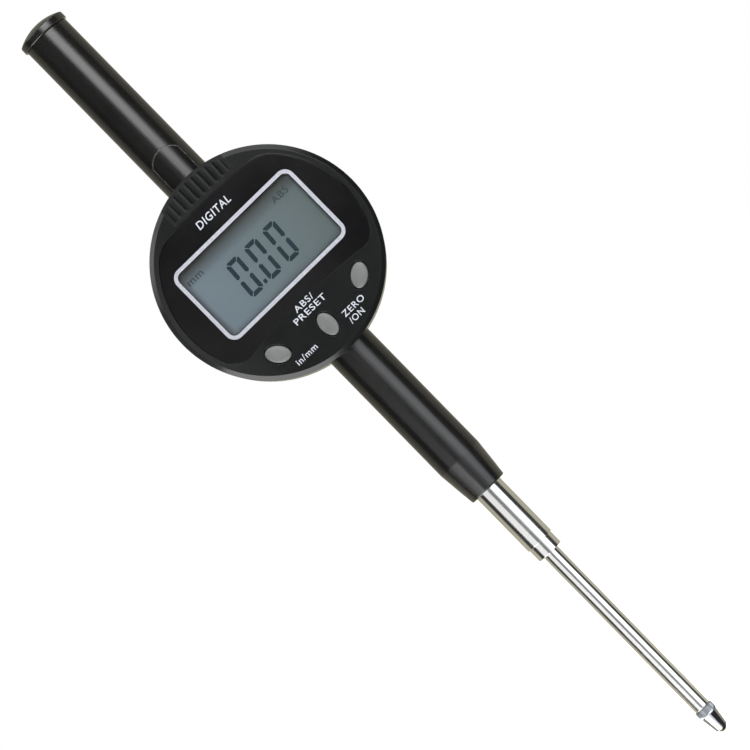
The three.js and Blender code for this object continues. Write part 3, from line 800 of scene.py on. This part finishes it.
def zero_segments():
    """The six lit segments of a zero about its own centre: one bar and one upright, mirrored."""
    w, h, s, g, c = DIGIT_WIDTH / 2, DIGIT_HEIGHT / 2, STROKE, SEGMENT_GAP, CORNER_CUT
    bar = [
        (-w + c, h),
        (w - c, h),
        (w - c / 2 - g, h - c / 2 + g),
        (w - s - g, h - s),
        (-w + s + g, h - s),
        (-w + c / 2 + g, h - c / 2 + g),
    ]
    upright = [
        (-w, h - c),
        (-w + c / 2 - g, h - c / 2 - g),
        (-w + s, h - s - g),
        (-w + s, 0.75),
        (-w + 0.35 * s, 0.32),
        (-w, 0.75),
    ]
    mirrored = [[(x * mx, z * mz) for x, z in upright] for mx in (1, -1) for mz in (1, -1)]
    return [bar, [(x, -z) for x, z in bar], *mirrored]


def lcd_reading():
    """The lit segments of the reading 0.00, just proud of the display glass."""
    shapes = []
    for x in DIGITS_X:
        shapes += [[(x + u, v) for u, v in segment] for segment in zero_segments()]
    point = (DIGITS_X[0] + DIGITS_X[1]) / 2
    base = POINT_RISE - DIGIT_HEIGHT / 2
    half, top = POINT_HALF, base + POINT_HEIGHT
    shapes.append([(point - half, base), (point + half, base), (point + half, top), (point - half, top)])
    near = LCD_LOW.y - 0.02
    made = []
    for outline in shapes:
        leaned = [(u + v * LEAN, v + DIGIT_Z) for u, v in outline]
        rings = [[(u, y, BODY_Z + v) for u, v in leaned] for y in (near, near + 0.04)]
        made.append(skin(rings))
    return piece(merged(made), "lcd_reading", LCD_INK, "housing", "display_glass")


def merged(shapes):
    """Several separate shapes as one mesh object."""
    whole = bmesh.new()
    for shape in shapes:
        whole.from_mesh(shape.data)
    first = shapes[0]
    whole.to_mesh(first.data)
    whole.free()
    for shape in shapes[1:]:
        bpy.data.objects.remove(shape)
    return first


def lettering(text, size, x, z, y, width, bold=0.0, lean=0.0):
    """Flat letters facing -Y, centred at (x, z) about the body's centre, of that overall width."""
    curve = bpy.data.curves.new("text", "FONT")
    curve.body = text
    curve.size = size
    curve.align_x = "CENTER"
    curve.align_y = "CENTER"
    curve.space_character = 1.12
    curve.offset = bold
    curve.shear = lean
    curve.extrude = 0.02
    curve.resolution_u = 4
    written = bpy.data.objects.new("text", curve)
    bpy.context.scene.collection.objects.link(written)
    graph = bpy.context.evaluated_depsgraph_get()
    mesh = bpy.data.meshes.new_from_object(written.evaluated_get(graph))
    bpy.data.objects.remove(written)
    left = min(v.co.x for v in mesh.vertices)
    right = max(v.co.x for v in mesh.vertices)
    fit = Matrix.Diagonal((width / (right - left), 1, 1, 1)) @ Matrix.Translation((-(left + right) / 2, 0, 0))
    mesh.transform(Matrix.Translation((x, y, BODY_Z + z)) @ Matrix.Rotation(math.pi / 2, 4, "X") @ fit)
    shape = bpy.data.objects.new("text", mesh)
    bpy.context.scene.collection.objects.link(shape)
    return shape


def legends():
    """Function words by the buttons, and the display's two small marks."""
    words = [
        ("ABS/", -0.65, -13.65, 6.0),
        ("PRESET", -0.65, -15.95, 10.3),
        ("ZERO", 7.75, -22.9, 6.9),
        ("/ON", 6.7, -25.3, 4.5),
        ("in/mm", -9.15, -23.5, 6.6),
    ]
    printed = [lettering(text, 2.35, x, z, FACE_Y, width, bold=0.018) for text, x, z, width in words]
    piece(merged(printed), "button_legends", PRINT_WHITE, "housing", "case_plastic")
    mark = lettering("DIGITAL", 3.0, -1.0, 18.5, LENS_LOW.y, 11.0, bold=0.03, lean=0.15)
    piece(mark, "window_word", PRINT_WHITE, "housing", "window")
    marks = [
        lettering("mm", 2.8, -15.8, 10.05, LCD_LOW.y, 4.8, bold=0.02),
        lettering("ABS", 2.6, 14.0, 10.1, LCD_LOW.y, 5.1, bold=0.02),
    ]
    piece(merged(marks), "lcd_marks", LCD_FAINT, "housing", "display_glass")


FLANGE_OUT = 0.8  # how much wider a key's flange is than its oval, on each side
FLANGE_THICK = 0.6
KEY_RISE = 0.12  # how far a key's straight side stands out of the face


def button(name):
    """A domed oval key on a wider flange behind the face."""
    low, high = corners(f"{name}_button")
    flange = high.y - FLANGE_THICK
    edge = FACE_Y - KEY_RISE
    crown = edge - low.y
    layers = []
    for i in range(7):
        a = math.radians(8 + 82 * i / 6)
        layers.append((-BUTTON_SHORT * (1 - math.sin(a)) * 0.98, edge - crown * math.cos(a)))
    layers += [(0, flange), (FLANGE_OUT, flange), (FLANGE_OUT, high.y)]
    shape = layered(lambda grow: button_outline(name, grow), layers)
    return piece(shape, f"{name}_key", BUTTON_GREY, f"{name}_key", "button_plastic", f"{name}_button")


RIDGES = 9
RIDGE_PITCH = 2.13
RIDGE_HEIGHT = 0.45
RIDGE_LOW = DOOR_BOTTOM + 0.5
RUN_OUT = 0.8  # length over which the valleys rise to the face at their lower ends


def battery_cover():
    """The ridged slide that closes the battery bay; its top edge follows the rim."""
    near, far = DOOR_LOW.y, DOOR_HIGH.y
    rim = [(BODY_R - RIM_WIDTH, near, 0.2), (BODY_R, near + RIM_DEPTH, 0.1)]
    profile = rounded([(0.5, near), *rim, (BODY_R, far), (0.5, far)])
    plan = block((-DOOR_X, near - 1, DOOR_LOW.z), (DOOR_X, far + 1, BODY_Z + BODY_R + 1))
    shape = combine(about_y(profile), [plan], "INTERSECT")
    shape = cut(shape, valleys(near))
    return piece(shape, "battery_slide", GRIP_PLASTIC, "battery_door", "case_plastic", "battery_cover")


def valleys(near):
    """A cutting tool that leaves half-round ridges side by side, with sharp valleys that run out below."""
    half = RIDGES * RIDGE_PITCH / 2
    steps = 12

    def ring(z, share):
        points = []
        for i in range(RIDGES * steps + 1):
            t = 2 * (i % steps) / steps - 1
            depth = RIDGE_HEIGHT * (1 - math.sqrt(1 - t * t)) * share
            points.append((i / steps * RIDGE_PITCH - half, near + max(depth, 0.004), BODY_Z + z))
        return points + [(half, near - 1, BODY_Z + z), (-half, near - 1, BODY_Z + z)]

    ends = [(RIDGE_LOW + RUN_OUT * i / 6, math.sin(math.pi / 2 * i / 6)) for i in range(7)]
    return skin([ring(z, share) for z, share in ends] + [ring(BODY_R + 2, 1.0)])


# ---------------------------------------------------------------- rear case and lug back

CASE_BOSS_AT = 25.1
CASE_SCREWS = (60, 120, 250, 290)
LUG_SCREW_AT = 17.2
LUG_SCREWS = (45, 135, 225, 315)


def polar(degrees, distance):
    a = math.radians(degrees)
    return distance * math.cos(a), BODY_Z + distance * math.sin(a)


def rear_case():
    near, back = CASE_LOW.y, BACK_Y
    profile = rounded(
        [
            (BODY_R - 0.15, near),
            (BODY_R, near + 0.15),
            (BODY_R, back, 1.2),
            (0.5, back),
            (0.5, back - WALL),
            (INNER_R, back - WALL),
            (INNER_R, near),
        ],
        steps=8,
    )
    ways = [screw_way(*polar(d, CASE_BOSS_AT)) for d in CASE_SCREWS]
    tube = about_z([(TUBE_R + 0.05, BODY_Z - BODY_R - 5), (TUBE_R + 0.05, BODY_Z + BODY_R + 5)])
    shape = join(about_y(profile, closed=True), about_y([(1.0, back - WALL), (1.0, back)]))
    shape = cut(shape, tube, *ways)
    return piece(shape, "rear_case_moulding", PLASTIC, "housing", "case_plastic", "rear_case")


def screw_way(x, z):
    """The counterbore and clearance hole of a case screw, with a chamfered mouth."""
    hole, seat = 1.05, 2.1
    floor_y = BACK_Y - 1.5
    profile = [(hole, CASE_LOW.y - 1), (hole, floor_y), (seat, floor_y)]
    profile += [(seat, BACK_Y - 0.15), (seat + 0.3, BACK_Y + 0.1)]
    return about_y(profile, x, z, 32)


def cross_screw(node, name, head_r, material):
    """A pan-head screw with a cross recess, seen on the back."""
    low, high = corners(node)
    x, z = (low.x + high.x) / 2, (low.z + high.z) / 2
    top = high.y
    profile = [(0.9, low.y), (0.9, top - 0.9), (head_r, top - 0.9), (head_r, top - 0.35)]
    profile += [(head_r * math.cos(a), top - 0.35 + 0.35 * math.sin(a)) for a in (0.5, 0.9, 1.2, 1.45)]
    reach, half = head_r * 0.52, 0.24
    arms = [
        block((x - a, top - 0.7, z - b), (x + a, top + 1, z + b)) for a, b in ((reach, half), (half, reach))
    ]
    shape = cut(about_y(profile, x, z, 48), *arms)
    return piece(shape, name, material, "housing", "steel", node)


LUG_PLATE = 2.2
LUG_HOLE_R = 3.25
EAR_WIDTH = 7.0
EAR_HEIGHT = 9.0
EAR_EDGES = ((0.0, 0.5), (0.15, 0.15), (0.5, 0.0))  # distance in from the ear's side, and shrinkage there


def lug_back():
    """The round plate with the ear that a clamp bolt passes through."""
    near = LUG_LOW.y
    plate_back = near + LUG_PLATE
    plate_r = LUG_HIGH.x
    profile = rounded([(plate_r, near, 0.3), (plate_r, plate_back, 0.6), (0.5, plate_back), (0.5, near)])
    plate = about_y(profile)
    half = EAR_WIDTH / 2
    ear_r = EAR_HEIGHT / 2
    root = near + 0.5
    centre = LUG_HIGH.y - ear_r
    tip = arc(centre, 0, ear_r, -90, 90, 32)[1:-1]
    outline = [(root, -ear_r), (centre, -ear_r), *tip, (centre, ear_r), (root, ear_r)]

    def ring(x, shrink):
        middle = (root + centre) / 2
        narrower = 1 - shrink / ear_r
        shorter = 1 - shrink / ear_r * 0.8
        return [
            (x, y if y < near + 1 else middle + (y - middle) * shorter, BODY_Z + z * narrower)
            for y, z in outline
        ]

    sides = [(-half + inset, shrink) for inset, shrink in EAR_EDGES]
    sides += [(half - inset, shrink) for inset, shrink in reversed(EAR_EDGES)]
    ear = skin([ring(x, shrink) for x, shrink in sides])
    mouth_r = LUG_HOLE_R + 0.6
    way = [(mouth_r, -half - 1), (mouth_r, -half - 0.1), (LUG_HOLE_R, -half + 0.5)]
    way += [(r, -x) for r, x in reversed(way)]
    angles = [2 * math.pi * i / SMALL_SIDES for i in range(SMALL_SIDES)]
    hole = skin([[(x, centre + r * math.cos(a), BODY_Z + r * math.sin(a)) for a in angles] for r, x in way])
    floor_y = plate_back - 1.05
    seat = [(0.95, near - 1), (0.95, floor_y), (1.9, floor_y), (1.9, plate_back - 0.1)]
    seat.append((2.1, plate_back + 0.1))
    seats = [about_y(seat, *polar(degrees, LUG_SCREW_AT), 32) for degrees in LUG_SCREWS]
    shape = cut(join(plate, ear), hole, *seats)
    return piece(shape, "lug_back_plate", BLACK_METAL, "housing", "black_metal", "lug_back")


# ---------------------------------------------------------------- tubes, cap and stem

SLOT_HALF = SLOT_HIGH.x
SLOT_END_R = 5.25
SEAM = 0.1
EDGE_BAND = 0.2


def slot_tool(grow):
    """A prism through the upper tube's front wall: its slot's plan, with the slot's shallow round end."""
    low = UPPER_LOW.z - BODY_Z - 5
    centre = SLOT_HIGH.z - BODY_Z - SLOT_END_R

    def outline(margin):
        half = SLOT_HALF + margin
        r = SLOT_END_R + margin
        corner = math.degrees(math.acos(half / r))
        return [(-half, low), (half, low)] + arc(0, centre, r, corner, 180 - corner, 48)

    return layered(outline, [(grow, -TUBE_R - 1), (grow, -1.0)])


def upper_tube_blank():
    low, high = UPPER_LOW.z, UPPER_HIGH.z
    return about_z(
        rounded([(TUBE_R, low), (TUBE_R, high, 0.2), (TUBE_BORE, high, 0.15), (TUBE_BORE, low)]), closed=True
    )


def upper_tube():
    """The tube with its slot, the strip that fills the slot, and a pale band round that strip that is a
    painted highlight on its edge.
    """
    shape = soften(cut(upper_tube_blank(), slot_tool(SEAM)), 0.05)
    piece(shape, "upper_guide_tube", BLACK_METAL, "housing", "black_metal", "upper_tube")
    insert = combine(upper_tube_blank(), [slot_tool(-EDGE_BAND)], "INTERSECT")
    piece(insert, "tube_slot_insert", BLACK_METAL, "housing", "black_metal", "tube_slot_cover")
    # A pale band round the strip: a painted highlight on its edge.
    band = cut(combine(upper_tube_blank(), [slot_tool(0)], "INTERSECT"), slot_tool(-EDGE_BAND + 0.02))
    piece(soften(band, 0.05), "tube_slot_edge", SLOT_EDGE_HIGHLIGHT, "housing", "black_metal", "tube_slot_cover")


CAP_DOME = 1.85
CAP_ROUNDING = 0.8


def tube_cap():
    """The domed cap: a plug in the tube under a round-edged crown."""
    r = CAP_HIGH.x
    base = UPPER_HIGH.z + 0.05
    edge = CAP_HIGH.z - CAP_DOME
    dome_r = (r * r + CAP_DOME**2) / (2 * CAP_DOME)
    plug_r = TUBE_BORE - 0.1
    crown = [
        (dome_r * math.sin(a), CAP_HIGH.z - dome_r * (1 - math.cos(a)))
        for a in (math.asin(r / dome_r) * (1 - i / 14) for i in range(1, 14))
    ]
    inner = plug_r - 1.0
    profile = rounded([(inner, base), (r, base, 0.25), (r, edge, CAP_ROUNDING), *crown], 8)
    ring = rounded([(inner, CAP_LOW.z), (plug_r, CAP_LOW.z, 0.2), (plug_r, base + 0.3), (inner, base + 0.3)])
    shape = join(about_z(profile), about_z(ring, closed=True))
    return piece(shape, "end_cap_dome", BLACK_METAL, "end_cap", "black_metal", "tube_cap")


TAPER_TOP = 21.7
TAPER_END_R = 5.45


def lower_tube():
    low, high = LOWER_LOW.z, LOWER_HIGH.z
    stem_hole = STEM_R - 0.5
    narrow = TUBE_BORE - 1.2
    outer = [(stem_hole, low), (TAPER_END_R, low, 0.35), (TUBE_R, TAPER_TOP, 0.02), (TUBE_R, high)]
    bore = [(TUBE_BORE, high), (TUBE_BORE, TAPER_TOP + 1.5), (narrow, TAPER_TOP), (narrow, STEM_HIGH.z)]
    shape = about_z(rounded([*outer, *bore, (stem_hole, STEM_HIGH.z)]), closed=True)
    return piece(shape, "lower_guide_tube", BLACK_METAL, "housing", "black_metal", "lower_tube")


NECK_R = 3.68
NECK_LENGTH = 3.8


def stem():
    low, high = STEM_LOW.z, STEM_HIGH.z
    shoulder = LOWER_LOW.z - 0.02
    step = low + NECK_LENGTH
    bore = BUSH_HIGH.x + 0.05
    profile = [
        (bore, low, 0.1),
        (NECK_R, low, 0.05),
        (NECK_R, step),
        (STEM_R, step, 0.03),
        (STEM_R, shoulder),
        (STEM_R - 0.55, shoulder),
        (STEM_R - 0.55, high),
        (bore, high),
    ]
    shape = about_z(rounded(profile), closed=True)
    return piece(shape, "mounting_stem", POLISHED, "housing", "polished_steel", "stem")


def lower_bush():
    low, high = BUSH_LOW.z, BUSH_HIGH.z
    inner = SPINDLE_R + 0.05
    profile = [(inner, low, 0.2), (BUSH_HIGH.x, low, 0.2), (BUSH_HIGH.x, high), (inner, high)]
    shape = about_z(rounded(profile), closed=True)
    return piece(shape, "stem_bush", BRASS, "housing", "brass", "lower_bush")


# ---------------------------------------------------------------- spindle and contact point


def spindle():
    low, high = SPINDLE_LOW.z, SPINDLE_HIGH.z
    thread, thread_end = 1.3, low + 7
    outer = [(thread, low), (SPINDLE_R, low, 0.12), (SPINDLE_R, high, 0.4)]
    bore = [(0.2, high), (0.2, thread_end), (thread, thread_end)]
    shape = about_z(rounded(outer + bore), closed=True)
    return piece(shape, "measuring_rod", POLISHED, "measuring_spindle", "polished_steel", "spindle")


COLLAR = 2.4
CONE_TOP_R = 2.38
CONE_END_R = 1.72
KNURLS = 36


def contact_point():
    """The screwed-in contact: a thread, a knurled collar and a plain cone."""
    top = SPINDLE_LOW.z - 0.02
    low = top - COLLAR
    thread = 1.25
    profile = [
        (CONE_END_R - 0.1, POINT_LOW.z),
        (CONE_END_R, POINT_LOW.z + 0.1),
        (CONE_TOP_R, low),
        (CONE_TOP_R, low + 0.5),
        (thread, low + 0.5),
        (thread, POINT_HIGH.z),
    ]
    cone = about_z(profile, SMALL_SIDES)
    socket_r = BALL_HIGH.x + 0.06
    socket = about_z([(socket_r, POINT_LOW.z - 1), (socket_r, BALL_HIGH.z + 0.05)], SMALL_SIDES)
    collar = knurled_collar(POINT_HIGH.x, low, top)
    shape = cut(join(cone, collar), socket)
    return piece(shape, "contact_tip", NICKEL, "measuring_spindle", "polished_steel", "contact_point")


def knurled_collar(r, low, high, depth=0.16):
    """A collar with straight knurls whose ends run out in small chamfers."""
    steps = KNURLS * 4
    teeth = (0.0, 0.75, 1.0, 0.75)

    def ring(outer, cut_depth, z):
        points = []
        for i in range(steps):
            a = 2 * math.pi * i / steps
            here = outer - cut_depth * teeth[i % 4]
            points.append((here * math.cos(a), here * math.sin(a), z))
        return points

    return skin(
        [
            ring(r - 0.35, 0.0, low),
            ring(r - 0.05, depth * 0.7, low + 0.22),
            ring(r, depth, low + 0.32),
            ring(r, depth, high - 0.32),
            ring(r - 0.05, depth * 0.7, high - 0.22),
            ring(r - 0.35, 0.0, high),
        ]
    )


def contact_ball():
    r = BALL_HIGH.x
    centre = BALL_LOW.z + r
    angles = [math.radians(3 + 174 * i / 24) for i in range(25)]
    shape = about_z([(r * math.sin(a), centre - r * math.cos(a)) for a in angles], 48)
    return piece(shape, "contact_sphere", CARBIDE, "measuring_spindle", "polished_steel", "contact_ball")


# ---------------------------------------------------------------- studio

CAMERA_DISTANCE = 954.0
CAMERA_AIM = (-0.5, 0.0, 52.0)
CAMERA_ELEVATION = -1.0
CAMERA_ROLL = 44.35
CAMERA_LENS = 180.0


def camera():
    """Face on, slightly from below, rolled so that the indicator runs from upper left to lower right."""
    data = bpy.data.cameras.new("camera")
    data.lens = CAMERA_LENS
    data.sensor_width = 36.0
    data.clip_start = 0.05
    data.clip_end = 30.0
    made = bpy.data.objects.new("camera", data)
    bpy.context.scene.collection.objects.link(made)
    tilt = math.radians(CAMERA_ELEVATION)
    back = Vector((0, -math.cos(tilt), math.sin(tilt)))
    made.location = (Vector(CAMERA_AIM) + back * CAMERA_DISTANCE) * MM
    roll = Matrix.Rotation(-math.radians(CAMERA_ROLL), 3, "Z")
    made.rotation_euler = ((-back).to_track_quat("-Z", "Y").to_matrix() @ roll).to_euler()
    bpy.context.scene.camera = made


SOFTBOX_DISTANCE = 1.25  # metres
STUDIO_Z = 52.0  # height in millimetres that the softboxes face
WHITE = (1.0, 1.0, 1.0)
COOL = (0.92, 0.97, 1.0)


def softbox(name, azimuths, elevations, radiance, colour=WHITE):
    """A soft light that fills two ranges of angles; azimuth 0 is where the display faces, 90 is +X."""
    azimuth, elevation = (math.radians(sum(pair) / 2) for pair in (azimuths, elevations))
    spans = [math.radians(high - low) for low, high in (azimuths, elevations)]
    width, height = (2 * SOFTBOX_DISTANCE * math.tan(span / 2) for span in spans)
    data = bpy.data.lights.new(name, "AREA")
    data.shape = "RECTANGLE"
    data.size = width
    data.size_y = height
    data.energy = radiance * math.pi * width * height
    data.color = colour
    light = bpy.data.objects.new(name, data)
    bpy.context.scene.collection.objects.link(light)
    level = math.cos(elevation)
    towards = Vector((math.sin(azimuth) * level, -math.cos(azimuth) * level, math.sin(elevation)))
    light.location = towards * SOFTBOX_DISTANCE + Vector((0, 0, STUDIO_Z * MM))
    light.rotation_euler = (-towards).to_track_quat("-Z", "Y").to_euler()
    light.visible_camera = False


def studio():
    """Softboxes round the front, and a surround that is pale and warm behind and dark in front.

    The camera itself sees plain white in place of the surround.
    """
    softbox("right_high", (0, 50), (8.0, 50), 2.1)
    softbox("right_high_core", (8, 40), (6.8, 50), 2.9)
    softbox("right_low", (5, 57), (-18, 3.4), 1.05, COOL)
    softbox("right_low_core", (20, 51), (-18, 3.4), 1.25, COOL)
    softbox("left_high", (-63, -20), (-0.9, 50), 0.05)
    softbox("left_low", (-63, -18), (-16, -0.9), 1.05)
    softbox("left_under", (-84, -24), (-68, -18), 7.0)
    softbox("left_face", (-18, -6.5), (3.6, 6.2), 2.0)
    softbox("left_top", (-76, -34), (26, 56), 1.5)
    softbox("top", (-60, 60), (60, 80), 2.6)
    softbox("front_low", (-22, 8), (-50, -18), 1.5)
    softbox("front_weak", (-14, 1.5), (-18, 5.2), 0.2)
    world = bpy.data.worlds.new("world")
    bpy.context.scene.world = world
    world.use_nodes = True
    tree = world.node_tree
    place = tree.nodes.new("ShaderNodeTexCoord").outputs["Generated"]
    split = tree.nodes.new("ShaderNodeSeparateXYZ")
    tree.links.new(place, split.inputs["Vector"])
    behind = tree.nodes.new("ShaderNodeVectorMath")
    behind.operation = "DOT_PRODUCT"
    behind.inputs[1].default_value = (0.052, 0.9986, 0.0)
    tree.links.new(place, behind.inputs[0])
    ramp = tree.nodes.new("ShaderNodeValToRGB")
    tree.links.new(behind.outputs["Value"], ramp.inputs["Fac"])
    dark, pale = ramp.color_ramp.elements
    dark.position, dark.color = 0.0, (0.08, 0.08, 0.08, 1)
    pale.position, pale.color = 0.16, (1.0, 0.957, 0.766, 1)
    height = tree.nodes.new("ShaderNodeMapRange")
    for name, value in (("From Min", -0.11), ("From Max", -0.035), ("To Min", 0.68), ("To Max", 0.43)):
        height.inputs[name].default_value = value
    tree.links.new(split.outputs["Z"], height.inputs["Value"])
    path = tree.nodes.new("ShaderNodeLightPath")
    seen = tree.nodes.new("ShaderNodeBackground")
    seen.inputs["Color"].default_value = (1, 1, 1, 1)
    lit = tree.nodes["Background"]
    tree.links.new(ramp.outputs["Color"], lit.inputs["Color"])
    tree.links.new(height.outputs["Result"], lit.inputs["Strength"])
    both = tree.nodes.new("ShaderNodeMixShader")
    tree.links.new(path.outputs["Is Camera Ray"], both.inputs["Fac"])
    tree.links.new(lit.outputs["Background"], both.inputs[1])
    tree.links.new(seen.outputs["Background"], both.inputs[2])
    tree.links.new(both.outputs["Shader"], tree.nodes["World Output"].inputs["Surface"])


SQUARE = ((-1, -1), (1, -1), (1, 1), (-1, 1))


def floor():
    """A plain white floor just under the contact ball."""
    half = 4.0
    z = CAD_BOX[0].z - 0.5 * MM
    mesh = bpy.data.meshes.new("floor")
    mesh.from_pydata([(x * half, y * half, z) for x, y in SQUARE], [], [(0, 1, 2, 3)])
    made = bpy.data.objects.new("floor", mesh)
    bpy.context.scene.collection.objects.link(made)
    paint = Material("floor_white", roughness=0.9)
    paint.colour(paint.ramp(paint.noise(3, 2), (0.3, (0.90, 0.90, 0.90)), (0.7, (0.94, 0.94, 0.94))))
    paint.shader.inputs["Emission Color"].default_value = (1, 1, 1, 1)
    paint.shader.inputs["Emission Strength"].default_value = 0.9
    mesh.materials.append(paint.made)
    made.visible_glossy = False


def build():
    camera()
    studio()
    floor()
    paint_frame()
    front_cover()
    display_window()
    frame_line()
    lcd()
    lcd_reading()
    legends()
    for name in BUTTONS:
        button(name)
    battery_cover()
    rear_case()
    lug_back()
    for i in range(1, 5):
        cross_screw(f"case_screw_{i}", f"case_screw_head_{i}", 2.0, PLATED)
        cross_screw(f"back_screw_{i}", f"back_screw_head_{i}", 1.8, DARK_SCREW)
    upper_tube()
    tube_cap()
    lower_tube()
    stem()
    lower_bush()
    spindle()
    contact_point()
    contact_ball()


build()
bpy.context.scene.view_settings.view_transform = "Standard"
